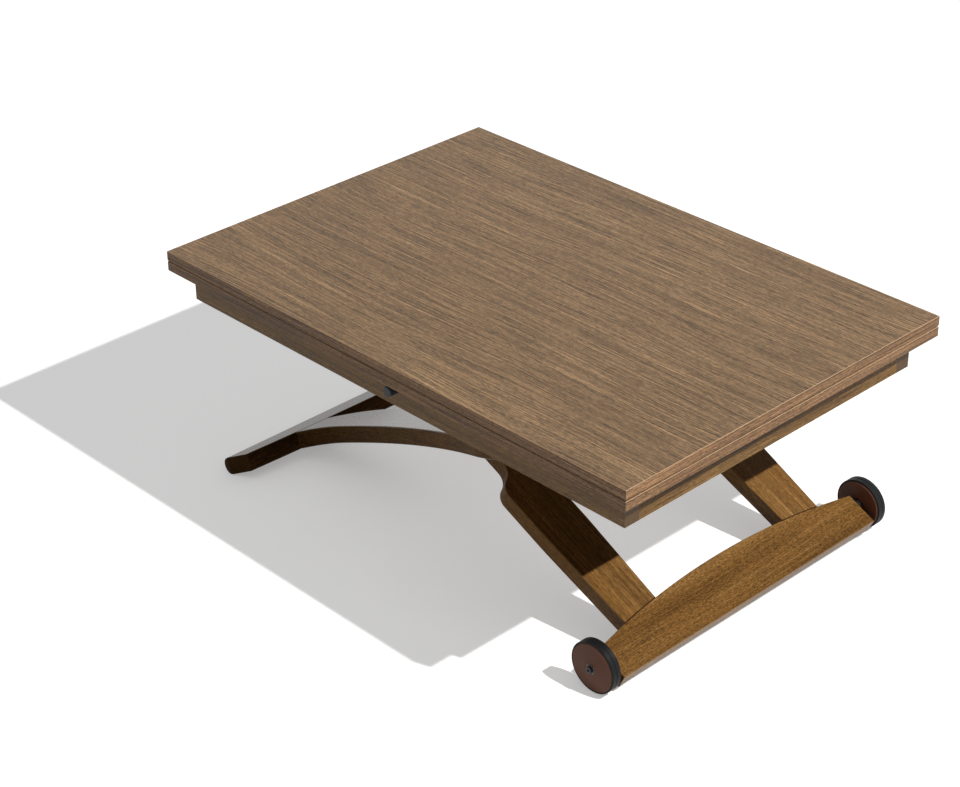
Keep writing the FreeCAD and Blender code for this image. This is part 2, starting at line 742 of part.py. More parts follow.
wheel_bar_outline = [
    (bar_edge, f"-({bar_half})"),
    (bar_edge, bar_half),
    (bar_end_back, bar_half, "out", "wheel_bar_bow"),
    (bar_end_back, f"-({bar_half})"),
]
wheel_bar_board = pad("wheel_bar_board", wheel_bar_outline, "frame_board_thickness", board_bottom, "board_arris")
wheel_frame_place(wheel_bar_board)

# The front face leans back under its lip for the fingers that pull the table.
grip_half = f"({bar_half} - grip_stop)"
grip_open = f"({grip_half} + grip_runout * overrun / grip_depth)"
grip_outline = [
    ("0", f"-({grip_half} - grip_runout)"),
    ("grip_depth + overrun", f"-{grip_open}"),
    ("grip_depth + overrun", grip_open),
    ("0", f"{grip_half} - grip_runout"),
]
grip_cutter = pad("grip_cutter", grip_outline, "grip_length + 2 * overrun", "-grip_length - overrun")
grip_top = "(axle_depth - grip_lip)"
place(grip_cutter,
      f"axle_reach + axle_edge * cos(wheel_frame_tilt) + {grip_top} * sin(wheel_frame_tilt)", "0",
      f"wheel_radius - axle_edge * sin(wheel_frame_tilt) + {grip_top} * cos(wheel_frame_tilt)",
      Y_AXIS, "wheel_frame_tilt + grip_slope")


def sloped_rod(name, radius, length, x, y, z, settle):
    """A rod along a frame's slope, given in the flat frame before it is tilted."""
    lying = rod_x(name + "_lying", radius, y, z, (x, f"({x}) + ({length})"))
    holder = group(name, [lying])
    settle(holder)
    return holder


def dowel_set(name, radius, length, spots, z, settle):
    return [sloped_rod(f"{name}_{spot}", radius, length, x, y, z, settle) for spot, (x, y) in enumerate(spots)]


board_middle = "axle_depth - frame_board_thickness / 2"
wheel_leg_middle = "(wheel_leg_inner + wheel_leg_outer) / 2"
wheel_dowel_spots = []
for sign in ("-", ""):
    for spread in ("- dowel_spread", "+ dowel_spread"):
        dowel_y = f"{sign}({wheel_leg_middle} {spread})"
        wheel_dowel_spots.append((f"{wheel_bar_back(dowel_y)} - dowel_length / 2", dowel_y))
wheel_dowel_holes = dowel_set("wheel_dowel_hole", "dowel_radius + running_gap", "dowel_length",
                              wheel_dowel_spots, board_middle, wheel_frame_place)
keep("wheel_leg_dowels", group("wheel_leg_dowels", dowel_set(
    "wheel_dowel", "dowel_radius", "dowel_length", wheel_dowel_spots, board_middle, wheel_frame_place)))
axle_bore = rod_y("axle_bore", "axle_radius + running_gap", "axle_reach", "wheel_radius",
                  (f"-({bar_half}) - overrun", f"{bar_half} + overrun"))
keep("wheel_bar", cut("wheel_bar", wheel_bar_board, [axle_bore, grip_cutter, *wheel_dowel_holes]))

# Wheel legs: they swell past the bar, then give way on the outside to the foot legs.
leg_end = "-wheel_leg_end"
belly_start = "axle_edge - wheel_belly_start"
belly_end = "axle_edge - wheel_belly_end"
swerve_end = f"{belly_end} - wheel_swerve_length"
wheel_leg_outline = [
    (wheel_bar_back("wheel_leg_outer"), "-wheel_leg_outer", "in", "wheel_bar_bow"),
    (wheel_bar_back("wheel_leg_inner"), "-wheel_leg_inner"),
    (belly_start, "-wheel_belly_inner"),
    (leg_end, "-wheel_belly_inner"),
    (leg_end, "-wheel_leg_upper_outer"),
    *swerve((swerve_end, "-wheel_leg_upper_outer"), (belly_end, "-wheel_belly_outer"), "in"),
    (belly_end, "-wheel_belly_outer"),
    (belly_start, "-wheel_belly_outer"),
]
wheel_leg_board = pad("wheel_leg_board", wheel_leg_outline, "frame_board_thickness", board_bottom,
                      "board_arris", leg_end, "leg_nose")
wheel_frame_place(wheel_leg_board)
crossing_bore = rod_y("crossing_bore", "crossing_pin_radius + running_gap", "crossing_x", "crossing_z",
                      ("-wheel_leg_upper_outer - overrun", "-wheel_belly_inner + overrun"))
shaft_bore = rod_y("shaft_bore", "shaft_radius + running_gap", "shaft_x", "pivot_z",
                   ("-wheel_leg_upper_outer - overrun", "-wheel_belly_inner + overrun"))
near_wheel_leg = keep("wheel_leg_near", cut("wheel_leg_near", wheel_leg_board,
                                            [crossing_bore, shaft_bore, *wheel_dowel_holes[:2]]))
keep("wheel_leg_far", mirrored("wheel_leg_far", near_wheel_leg))


# Foot frame, drawn flat about the centre of its rounded nose, then tilted the other way.
def foot_frame_place(item):
    place(item, "-foot_reach", "0", "foot_nose", Y_AXIS, "-foot_tilt")


def foot_bar_back(across):
    """The bowed upper edge of the foot bar at a distance from its middle."""
    return f"(foot_bar_mid_width - foot_bar_bow + sqrt(foot_bar_bow^2 - ({across})^2))"


foot_half = "foot_bar_length / 2"
foot_bar_outline = [
    ("-foot_nose - overrun", f"-({foot_half})"),
    ("foot_bar_end_width", f"-({foot_half})", "out", "foot_bar_bow"),
    ("foot_bar_end_width", foot_half),
    ("-foot_nose - overrun", foot_half),
]
foot_plan = pad("foot_bar_plan", foot_bar_outline, "foot_board_thickness", "-foot_nose", "board_arris")
foot_frame_place(foot_plan)
nose_profile = [
    ("0", "-foot_nose"),
    ("foot_bar_mid_width + overrun", "-foot_nose"),
    ("foot_bar_mid_width + overrun", "foot_nose"),
    ("0", "foot_nose", "out", "foot_nose"),
    ("-foot_nose", "0", "out", "foot_nose"),
]
nose_body = new_body("foot_bar_nose")
nose_sketch = add_sketch(nose_body, "foot_bar_nose_profile", "XZ_Plane", nose_profile)
nose_pad = nose_body.newObject("PartDesign::Pad", "foot_bar_nose_pad")
nose_pad.Profile = nose_sketch
nose_pad.SideType = "Symmetric"
bind(nose_pad, Length="foot_bar_length + 2 * overrun")
foot_frame_place(nose_body)
doc.recompute()
foot_bar_blank = doc.addObject("Part::Common", "foot_bar_blank")
foot_bar_blank.Base = foot_plan
foot_bar_blank.Tool = nose_body
flare_y = "foot_leg_outer + foot_flare_width"
foot_leg_middle = f"(foot_toe_inner + {flare_y}) / 2"
foot_dowel_spots = []
for sign in ("-", ""):
    for spread in ("- dowel_spread", "+ dowel_spread"):
        dowel_y = f"{sign}({foot_leg_middle} {spread})"
        foot_dowel_spots.append((f"{foot_bar_back(dowel_y)} - dowel_length / 2", dowel_y))
foot_dowel_holes = dowel_set("foot_dowel_hole", "dowel_radius + running_gap", "dowel_length",
                             foot_dowel_spots, "0", foot_frame_place)
keep("foot_leg_dowels", group("foot_leg_dowels", dowel_set(
    "foot_dowel", "dowel_radius", "dowel_length", foot_dowel_spots, "0", foot_frame_place)))
keep("foot_bar", cut("foot_bar", foot_bar_blank, foot_dowel_holes))

# Foot legs: they curve in from the bar, then splay until they pass outside the wheel legs.
flare_start = foot_bar_back(flare_y)
toe_start = foot_bar_back("foot_toe_inner")
inner_flare_bow = "(foot_inner_flare_length^2 + foot_inner_flare_width^2) / (2 * foot_inner_flare_width)"
outer_first_share = "0.82"
inner_first_share = "0.2"
foot_leg_outline = [
    (flare_start, f"-({flare_y})", "in", "foot_flare_bow"),
    *swerve((f"{flare_start} + foot_flare_length", "-foot_leg_outer"),
            ("foot_outer_swerve_end", "-foot_leg_upper_outer"), "in", outer_first_share),
    ("foot_outer_swerve_end", "-foot_leg_upper_outer"),
    ("foot_leg_end", "-foot_leg_upper_outer"),
    ("foot_leg_end", "-foot_leg_upper_inner"),
    *swerve(("foot_inner_swerve_end", "-foot_leg_upper_inner"),
            ("foot_inner_swerve_start", "-foot_leg_inner"), "in", inner_first_share),
    ("foot_inner_swerve_start", "-foot_leg_inner"),
    (f"{toe_start} + foot_inner_flare_length", "-foot_leg_inner", "out", inner_flare_bow),
    (toe_start, "-foot_toe_inner", "in", "foot_bar_bow"),
]
foot_leg_board = pad("foot_leg_board", foot_leg_outline, "foot_board_thickness", "-foot_nose",
                     "board_arris", "foot_leg_end", "leg_nose")
foot_frame_place(foot_leg_board)
roller_bore = rod_y("roller_bore", "shaft_radius + running_gap", "roller_x", "pivot_z",
                    ("-foot_leg_upper_outer - overrun", "-foot_leg_upper_inner + overrun"))
crossing_nut_range = ("-foot_leg_upper_inner - crossing_nut_depth", "-foot_leg_upper_inner")
nut_bore = rod_y("crossing_nut_bore", "crossing_nut_radius + running_gap", "crossing_x", "crossing_z",
                 (crossing_nut_range[0], f"{crossing_nut_range[1]} + overrun"))
near_foot_leg = keep("foot_leg_near", cut("foot_leg_near", foot_leg_board,
                                          [nut_bore, roller_bore, *foot_dowel_holes[:2]]))
keep("foot_leg_far", mirrored("foot_leg_far", near_foot_leg))

# Crossing pivots: a pin from inside each wheel leg turns in a nut sunk in the foot leg, a washer between.
head_face = "wheel_belly_inner - seat_gap"
pin_shank = rod_y("crossing_pin_shank", "crossing_pin_radius", "crossing_x", "crossing_z",
                  (f"{crossing_nut_range[0]} + seat_gap", f"-({head_face})"))
pin_head = rod_y("crossing_pin_head", "crossing_head_radius", "crossing_x", "crossing_z",
                 (f"-({head_face})", f"-({head_face}) + crossing_head_height"))
both_sides("crossing_pins", joined("crossing_pin", [pin_shank, pin_head]))
both_sides("crossing_nuts", ring_y(
    "crossing_nut", "crossing_nut_radius", "crossing_pin_radius + running_gap", "crossing_x", "crossing_z",
    crossing_nut_range))
both_sides("crossing_washers", ring_y(
    "crossing_washer", "crossing_head_radius", "crossing_pin_radius + running_gap", "crossing_x", "crossing_z",
    ("-foot_leg_upper_inner + seat_gap", "-wheel_leg_upper_outer")))

# Lift shaft between the long rails, on which the wheel legs turn, with its flanges and collars.
keep("lift_shaft", rod_y("lift_shaft", "shaft_radius", "shaft_x", "pivot_z",
                         ("-rail_face + seat_gap", "rail_face - seat_gap")))
flange_plate = box("shaft_flange_plate", ("shaft_x - flange_length / 2", "shaft_x + flange_length / 2"),
                   ("-rail_face", "-rail_face + flange_thickness"),
                   ("pivot_z - flange_height / 2", "pivot_z + flange_height / 2"))
flange_hole = rod_y("shaft_flange_hole", "shaft_radius + running_gap", "shaft_x", "pivot_z",
                    ("-rail_face - overrun", "-rail_face + flange_thickness + overrun"))
both_sides("shaft_flanges", cut("shaft_flange", flange_plate, [flange_hole]))
both_sides("shaft_collars", ring_y(
    "shaft_collar", "collar_radius", "shaft_radius + running_gap", "shaft_x", "pivot_z",
    ("-wheel_belly_inner + seat_gap", "-wheel_belly_inner + seat_gap + collar_width")))

# Roller shaft through the foot legs, with a nylon roller at each end in a track on the rail.
keep("roller_shaft", rod_y("roller_shaft", "shaft_radius", "roller_x", "pivot_z",
                           ("-roller_outer", "roller_outer")))
both_sides("track_rollers", ring_y(
    "track_roller", "roller_radius", "shaft_radius + running_gap", "roller_x", "pivot_z",
    ("-roller_outer", "-roller_inner")))
both_sides("roller_collars", ring_y(
    "roller_collar", "roller_cap_radius", "shaft_radius + running_gap", "roller_x", "pivot_z",
    ("-roller_inner", "-roller_inner + roller_cap_thickness")))
track_start = "(roller_x_raised - roller_radius - track_slack)"
track_stop = "(roller_x + roller_radius + track_slack)"
track_half = "(roller_radius + track_slack)"
track_length = f"({track_stop} - {track_start})"
track_end_rise = f"(track_sag * (({track_length} / (roller_x - roller_x_raised))^2 - 1))"
track_dip = f"(track_sag + {track_end_rise})"
track_bow = f"(({track_length} / 2)^2 + {track_dip}^2) / (2 * {track_dip})"
track_block = box("track_block", (f"{track_start} - track_wall", f"{track_stop} + track_wall"),
                  ("-rail_face", "-track_face"),
                  (f"pivot_z - {track_half} - track_sag - track_wall",
                   f"pivot_z + {track_half} + {track_end_rise} + track_wall"))
groove_outline = [
    (track_start, f"pivot_z - {track_half} + {track_end_rise}", "out", track_bow),
    (track_stop, f"pivot_z - {track_half} + {track_end_rise}"),
    (track_stop, f"pivot_z + {track_half} + {track_end_rise}", "in", track_bow),
    (track_start, f"pivot_z + {track_half} + {track_end_rise}"),
]
groove_body = new_body("track_groove")
groove_sketch = add_sketch(groove_body, "track_groove_outline", "XZ_Plane", groove_outline)
track_groove = groove_body.newObject("PartDesign::Pad", "track_groove_pad")
track_groove.Profile = groove_sketch
bind(track_groove, Length="track_depth + overrun - track_wall")
place(groove_body, "0", "-track_face + overrun", "0")
doc.recompute()
near_track = keep("track_near", cut("track_near", track_block, [groove_body]))
keep("track_far", mirrored("track_far", near_track))

# Axle through the wheel bar, with a washer and a socket bolt at each end.
axle_rod = rod_y("axle_rod", "axle_radius", "axle_reach", "wheel_radius", ("-axle_end", "axle_end"))
thread_reach = "axle_end - axle_bolt_shank_length - overrun"
thread_holes = [
    rod_y("near_thread", "axle_bolt_shank_radius + running_gap", "axle_reach", "wheel_radius",
          ("-axle_end - overrun", f"-({thread_reach})")),
    rod_y("far_thread", "axle_bolt_shank_radius + running_gap", "axle_reach", "wheel_radius",
          (thread_reach, "axle_end + overrun")),
]
keep("wheel_axle", cut("wheel_axle", axle_rod, thread_holes))
both_sides("axle_washers", ring_y(
    "axle_washer", "axle_washer_radius", "axle_bolt_shank_radius + running_gap", "axle_reach", "wheel_radius",
    ("-washer_face", "-axle_end")))
bolt_outer = "washer_face + axle_bolt_head_height"
bolt_head = rod_y("axle_bolt_head", "axle_bolt_head_radius", "axle_reach", "wheel_radius",
                  (f"-({bolt_outer})", "-washer_face"))
bolt_shank = rod_y("axle_bolt_shank", "axle_bolt_shank_radius", "axle_reach", "wheel_radius",
                   ("-washer_face", "-axle_end + axle_bolt_shank_length"))
bolt_socket = doc.addObject("Part::Prism", "axle_bolt_socket")
bolt_socket.Polygon = 6
bind(bolt_socket, Circumradius="axle_bolt_socket_radius", Height="axle_bolt_socket_depth + overrun")
place(bolt_socket, "axle_reach", f"-({bolt_outer}) - overrun", "wheel_radius", X_AXIS, "-90")
both_sides("axle_bolts", cut("axle_bolt", joined("axle_bolt_solid", [bolt_head, bolt_shank]), [bolt_socket]))
both_sides("axle_spacers", ring_y(
    "axle_spacer", "spacer_radius", "axle_radius + running_gap", "axle_reach", "wheel_radius",
    ("-wheel_inner_face + seat_gap", f"-({bar_half})")))

# Wheels: a moulded disc that rises like a shallow cone to its hub, a thin tyre and a bush.
disc_profile = [
    ("bush_radius", "-hub_rise"),
    ("hub_radius", "-hub_rise"),
    ("disc_radius - rim_bevel", "0"),
    ("disc_radius", "rim_bevel"),
    ("disc_radius", "wheel_width - rim_bevel"),
    ("disc_radius - rim_bevel", "wheel_width"),
    ("bush_radius", "wheel_width"),
]
tyre_profile = [
    ("disc_radius", "tyre_inset"),
    ("wheel_radius - tyre_bevel", "tyre_inset"),
    ("wheel_radius", "tyre_inset + tyre_bevel"),
    ("wheel_radius", "(wheel_width - tread_groove_width) / 2"),
    ("wheel_radius - tread_groove_depth", "wheel_width / 2"),
    ("wheel_radius", "(wheel_width + tread_groove_width) / 2"),
    ("wheel_radius", "wheel_width - tyre_inset - tyre_bevel"),
    ("wheel_radius - tyre_bevel", "wheel_width - tyre_inset"),
    ("disc_radius", "wheel_width - tyre_inset"),
]
wheel_spot = ("axle_reach", "-wheel_outer_face", "wheel_radius")
near_disc = keep("wheel_disc_near", turned("wheel_disc_near", disc_profile, *wheel_spot))
keep("wheel_disc_far", mirrored("wheel_disc_far", near_disc))
near_tyre = keep("tyre_near", turned("tyre_near", tyre_profile, *wheel_spot))
keep("tyre_far", mirrored("tyre_far", near_tyre))
near_bush = keep("wheel_bush_near", ring_y(
    "wheel_bush_near", "bush_radius", "axle_radius + running_gap", "axle_reach", "wheel_radius",
    ("-hub_face", "-wheel_inner_face")))
keep("wheel_bush_far", mirrored("wheel_bush_far", near_bush))

# Height lock: a disc on the near wheel leg, and a sprung pin that the knob draws back.
disc_range = ("-lock_disc_face", "-wheel_leg_upper_outer")
disc_blank = rod_y("lock_disc_blank", "lock_disc_radius", "shaft_x", "pivot_z", disc_range)
disc_through = ("-lock_disc_face - overrun", "-wheel_leg_upper_outer + overrun")
disc_centre = rod_y("lock_disc_centre", "shaft_radius + running_gap", "shaft_x", "pivot_z", disc_through)
raised_angle = "(lock_rest_angle + lift_angle)"
disc_hole = rod_y("lock_disc_hole", "lock_pin_radius + seat_gap",
                  f"shaft_x + lock_orbit * cos{raised_angle}", f"pivot_z + lock_orbit * sin{raised_angle}",
                  disc_through)
keep("lock_disc", cut("lock_disc", disc_blank, [disc_centre, disc_hole]))
screw_range = ("-lock_disc_face - lock_screw_height", "-lock_disc_face")
screw_reach_shares = (0.62, 0.82)
lock_screws = []
for share in screw_reach_shares:
    reach = f"lock_disc_radius * {share}"
    lock_screws.append(rod_y(f"lock_screw_{len(lock_screws)}", "lock_screw_radius",
                             f"shaft_x + {reach} * cos(wheel_frame_tilt)",
                             f"pivot_z - {reach} * sin(wheel_frame_tilt)", screw_range))
keep("lock_disc_screws", group("lock_disc_screws", lock_screws))
knob_base = "frame_half_width + seat_gap"
knob_profile = [
    ("0", "0"),
    ("knob_radius - knob_bevel", "0"),
    ("knob_radius", "knob_bevel"),
    ("knob_radius", "knob_length"),
    ("0", "knob_length"),
]
keep("release_knob", turned("release_knob", knob_profile, "knob_place",
                            f"-({knob_base}) - knob_length", "knob_z"))
keep("release_rod", rod_y("release_rod", "rod_radius", "knob_place", "knob_z",
                          (f"-({knob_base})", "-link_face")))
link_bar = box("release_link_bar", ("lock_x - link_height", "knob_place + link_height"),
               ("-link_face", "-link_face + link_thickness"),
               ("knob_z - link_height / 2", "knob_z + link_height / 2"))
link_hole = rod_y("release_link_hole", "lock_pin_radius + running_gap", "lock_x", "knob_z",
                  ("-link_face - overrun", "-link_face + link_thickness + overrun"))
keep("release_link", cut("release_link", link_bar, [link_hole]))
keep("lock_pin", rod_y("lock_pin", "lock_pin_radius", "lock_x", "knob_z",
                       ("-rail_face - lock_guide_depth + release_travel + seat_gap",
                        "-lock_disc_face - seat_gap")))

# Return spring round the rod, at the length that it has when the knob is drawn out.
def coil_spot(turns):
    """A point on the coil and the way that the wire runs there."""
    angle = 2 * math.pi * turns
    radius = number("spring_radius")
    pitch = number("spring_pitch")
    spot = FreeCAD.Vector(radius * math.cos(angle), radius * math.sin(angle), pitch * turns)
    way = FreeCAD.Vector(-radius * math.sin(angle), radius * math.cos(angle), pitch / (2 * math.pi))
    return spot, way.normalize()


def biarc(start, end):
    """Two arcs that leave one point of the coil along its wire and reach the next along it."""
    chord = end[0] - start[0]
    ways = start[1] + end[1]
    square = 2 * (1 - start[1].dot(end[1]))
    along = chord.dot(ways)
    reach = (math.sqrt(along ** 2 + square * chord.dot(chord)) - along) / square
    first = start[0] + start[1] * reach
    second = end[0] - end[1] * reach
    middle = (first + second) / 2
    return [arc_between(start[0], first, middle), arc_between(middle, second, end[0])]


def arc_between(start, corner, end):
    """The arc that touches both sides of a corner."""
    half = (end - start) / 2
    foot = start + half
    side = (corner - start).Length
    crown = foot + (corner - foot) * (half.Length / (half.Length + side))
    return Part.Arc(start, crown, end).toShape()


def least_gap(spots, turn_spots):
    """The clear space between the wire and its own next turns."""
    nearest = min(
        spot.distanceToPoint(other)
        for place_in_list, spot in enumerate(spots)
        for other in spots[place_in_list + turn_spots // 2:])
    return nearest - number("spring_wire")


quarters = 4
quarter_turns = int(quarters * number("spring_turns"))
coil_spots = [coil_spot(quarter / quarters) for quarter in range(quarter_turns + 1)]
coil_arcs = [arc for spots in zip(coil_spots, coil_spots[1:]) for arc in biarc(*spots)]
coil_start, coil_way = coil_spots[0]
wire_turn = FreeCAD.Rotation(Z_AXIS, coil_way)
wire_side_count = int(number("spring_wire_sides"))
wire_corners = []
for corner in range(wire_side_count + 1):
    angle = 2 * math.pi * corner / wire_side_count
    spoke = FreeCAD.Vector(math.cos(angle), math.sin(angle), 0) * number("spring_wire / 2")
    wire_corners.append(coil_start + wire_turn.multVec(spoke))
coil_wire = Part.Wire(coil_arcs)
spring = doc.addObject("Part::Feature", "release_spring")
spring.Shape = coil_wire.makePipeShell([Part.makePolygon(wire_corners)], True, False)
place(spring, "knob_place", "-rail_face + spring_wire / 2 + running_gap", "knob_z", X_AXIS, "-90")
keep("release_spring", spring)
gap_spots_per_turn = 48
gap_spots = coil_wire.discretize(Number=int(gap_spots_per_turn * number("spring_turns")))
print(f"least gap of the spring to itself {least_gap(gap_spots, gap_spots_per_turn):.2f} mm")

doc.recompute()

# Every piece has to be whole before any is written.
for item in doc.Objects:
    if "Invalid" in item.State or "Error" in item.State:
        raise RuntimeError(f"{item.Label} failed: {item.State}")
for label, item in parts.items():
    shape = item.Shape
    if shape.isNull() or not shape.isValid() or not shape.Solids:
        raise RuntimeError(f"{label} is not a valid solid")
os.makedirs("parts", exist_ok=True)
for label, item in parts.items():
    item.Shape.exportStep(f"parts/{label}.step")
print(f"{len(parts)} sub-parts written")
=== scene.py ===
import math
import bmesh
import bpy
from mathutils import Matrix, Vector


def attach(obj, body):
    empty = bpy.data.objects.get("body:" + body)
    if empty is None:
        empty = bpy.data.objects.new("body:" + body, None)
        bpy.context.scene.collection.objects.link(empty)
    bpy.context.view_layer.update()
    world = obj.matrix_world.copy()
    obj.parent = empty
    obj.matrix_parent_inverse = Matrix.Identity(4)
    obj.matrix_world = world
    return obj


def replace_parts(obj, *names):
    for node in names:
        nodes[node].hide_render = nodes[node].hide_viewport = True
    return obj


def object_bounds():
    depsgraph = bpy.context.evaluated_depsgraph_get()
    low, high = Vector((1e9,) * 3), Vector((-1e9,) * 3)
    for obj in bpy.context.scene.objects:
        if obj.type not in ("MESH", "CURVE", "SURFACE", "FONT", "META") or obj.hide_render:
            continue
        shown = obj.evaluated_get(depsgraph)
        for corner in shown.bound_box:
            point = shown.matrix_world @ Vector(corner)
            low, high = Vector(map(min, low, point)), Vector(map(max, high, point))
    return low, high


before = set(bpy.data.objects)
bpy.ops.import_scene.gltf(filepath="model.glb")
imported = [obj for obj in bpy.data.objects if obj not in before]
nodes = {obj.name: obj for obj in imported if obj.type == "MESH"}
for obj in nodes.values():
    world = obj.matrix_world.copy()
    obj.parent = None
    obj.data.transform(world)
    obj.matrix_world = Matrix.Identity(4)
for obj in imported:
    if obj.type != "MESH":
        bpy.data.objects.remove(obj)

cad_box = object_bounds()


# Wheel bar: the wide bowed board that carries the axle, sawn from solid wood 30 mm thick,
# stained golden brown and oiled. Its grain runs from wheel to wheel. Its front edge is cut
# nearly square and sealed, so that it mirrors the floor.
def node(tree, kind, sockets=None, **settings):
    """A node with its own settings, and its sockets given as values or as other nodes' outputs."""
    made = tree.nodes.new("ShaderNode" + kind)
    for name, value in settings.items():
        setattr(made, name, value)
    for socket, value in (sockets or {}).items():
        if isinstance(value, bpy.types.NodeSocket):
            tree.links.new(value, made.inputs[socket])
        else:
            made.inputs[socket].default_value = value
    return made


def calc(tree, operation, first, second=0.0, clamp=False):
    """The result of one sum on values."""
    return node(tree, "Math", {0: first, 1: second}, operation=operation, use_clamp=clamp).outputs[0]


def vector_calc(tree, operation, first, second):
    """The vector that one sum on vectors gives."""
    return node(tree, "VectorMath", {0: first, 1: second}, operation=operation).outputs[0]


def parts_of(tree, vector):
    """The X, Y and Z of a vector."""
    return node(tree, "SeparateXYZ", {0: vector}).outputs[:3]


def fade(tree, value, low, high):
    """0 below low and 1 above high, or the other way round where low is the larger."""
    return node(tree, "MapRange", {0: value, 1: low, 2: high}, interpolation_type="SMOOTHSTEP").outputs[0]


def mix(tree, share, first, second, how="MIX"):
    """A share of the second colour or vector in the first."""
    mixer = node(tree, "Mix", {0: share, 6: first, 7: second}, data_type="RGBA", blend_type=how)
    return mixer.outputs[2]


def noise(tree, vector, stretch, detail=2.0, roughness=0.5):
    """Cloudy values from 0 to 1, so many lumps to the metre along each axis."""
    stretched = node(tree, "Mapping", {"Vector": vector, "Scale": stretch}).outputs[0]
    lumps = node(tree, "TexNoise",
                 {"Vector": stretched, "Scale": 1.0, "Detail": detail, "Roughness": roughness})
    return lumps.outputs[0]


def centred_noise(tree, vector, stretch, detail=2.0, roughness=0.5):
    """The same values from -0.5 to 0.5."""
    return calc(tree, "SUBTRACT", noise(tree, vector, stretch, detail, roughness), 0.5)


def new_group(name, inputs, outputs):
    """An empty node group; each socket is a name with its kind and, for an input, its value."""
    tree = bpy.data.node_groups.new(name, "ShaderNodeTree")
    for label, kind, value in inputs:
        socket = tree.interface.new_socket(label, in_out="INPUT", socket_type="NodeSocket" + kind)
        if value is not None:
            socket.default_value = value
    for label, kind in outputs:
        tree.interface.new_socket(label, in_out="OUTPUT", socket_type="NodeSocket" + kind)
    entry = tree.nodes.new("NodeGroupInput")
    leave = tree.nodes.new("NodeGroupOutput")
    return tree, entry.outputs, leave.inputs


def join(tree, outputs, **results):
    """Leads results to a group's outputs."""
    for label, result in results.items():
        tree.links.new(result, outputs[label])


WHITE = (1.0, 1.0, 1.0, 1.0)
BLACK = (0.0, 0.0, 0.0, 1.0)

# Figure of sawn walnut, with the grain along X: broad bands, fine streaks, pale lines and pores.
# Each stretch says how many marks there are to the metre along the grain and across it.
sway_stretch = (1.7, 5.0, 5.0)
band_stretch = (0.8, 24.0, 24.0)
streak_stretch = (2.4, 170.0, 170.0)
pale_line_stretch = (1.3, 420.0, 420.0)
fine_line_stretch = (6.0, 700.0, 700.0)
cloud_stretch = (9.0, 22.0, 22.0)
flecks_across, pores_across = 900.0, 800.0
pale_line_share = 0.5
least_shade = 0.25
pore_black = 0.55
streak_height = 0.3
smoothest, rougher_light = 0.36, 0.16
walnut_figure, given, out = new_group(
    "walnut_figure",
    [("Vector", "Vector", None), ("Dark", "Color", WHITE), ("Middle", "Color", WHITE),
     ("Light", "Color", WHITE), ("Sway", "Float", 0.03), ("Streak", "Float", 0.5),
     ("Pore", "Float", 0.5), ("Pore Length", "Float", 50.0), ("Line", "Float", 0.5),
     ("Fleck", "Float", 0.5), ("Fleck Length", "Float", 250.0), ("Cloud", "Float", 0.0)],
    [("Color", "Color"), ("Height", "Float"), ("Roughness", "Float")])
tree = walnut_figure
sway = centred_noise(tree, given["Vector"], sway_stretch, 1.5)
shift = node(tree, "CombineXYZ", {1: calc(tree, "MULTIPLY", sway, given["Sway"])}).outputs[0]
swayed = vector_calc(tree, "ADD", given["Vector"], shift)
bands = noise(tree, swayed, band_stretch, 3.0, 0.55)
streaks = noise(tree, swayed, streak_stretch, 3.0, 0.65)
lean = calc(tree, "MULTIPLY", calc(tree, "SUBTRACT", streaks, bands), given["Streak"])
tone = calc(tree, "ADD", bands, lean)
darker = mix(tree, fade(tree, tone, 0.52, 0.3), given["Middle"], given["Dark"])
figured = mix(tree, fade(tree, tone, 0.5, 0.72), darker, given["Light"])
pale_lines = fade(tree, noise(tree, swayed, pale_line_stretch, 1.0), 0.6, 0.72)
lined = mix(tree, calc(tree, "MULTIPLY", pale_lines, pale_line_share), figured, given["Light"])
fine_lines = centred_noise(tree, swayed, fine_line_stretch, 2.0, 0.6)
fleck_stretch = node(tree, "CombineXYZ", {0: given["Fleck Length"], 1: flecks_across, 2: flecks_across})
flecks = centred_noise(tree, swayed, fleck_stretch.outputs[0], 2.0, 0.7)
clouds = centred_noise(tree, swayed, cloud_stretch, 1.0)
shading = calc(tree, "ADD", calc(tree, "MULTIPLY", fine_lines, given["Line"]),
               calc(tree, "MULTIPLY", flecks, given["Fleck"]))
shading = calc(tree, "ADD", shading, calc(tree, "MULTIPLY", clouds, given["Cloud"]))
shading = calc(tree, "MAXIMUM", calc(tree, "ADD", 1.0, shading), least_shade)
lined = mix(tree, 1.0, lined, shading, "MULTIPLY")
pore_stretch = node(tree, "CombineXYZ", {0: given["Pore Length"], 1: pores_across, 2: pores_across})
pores = fade(tree, noise(tree, swayed, pore_stretch.outputs[0], 1.0), 0.54, 0.64)
pored = calc(tree, "MULTIPLY", pores, given["Pore"])
soft_dark = mix(tree, pore_black, given["Dark"], BLACK)
join(tree, out, Color=mix(tree, pored, lined, soft_dark),
     Height=calc(tree, "SUBTRACT", calc(tree, "MULTIPLY", streaks, streak_height), pored),
     Roughness=calc(tree, "ADD", smoothest, calc(tree, "MULTIPLY", tone, rougher_light)))

# Eased arris: a mask for the narrow bevels round a board whose face looks along Z.
bevel_rise = 0.7
eased_arris, given, out = new_group("eased_arris", [("Normal", "Vector", None)], [("Mask", "Float")])
tree = eased_arris
upright = parts_of(tree, given["Normal"])[2]
off_bevel = calc(tree, "ABSOLUTE", calc(tree, "SUBTRACT", calc(tree, "ABSOLUTE", upright), bevel_rise))
join(tree, out, Mask=fade(tree, off_bevel, 0.24, 0.1))

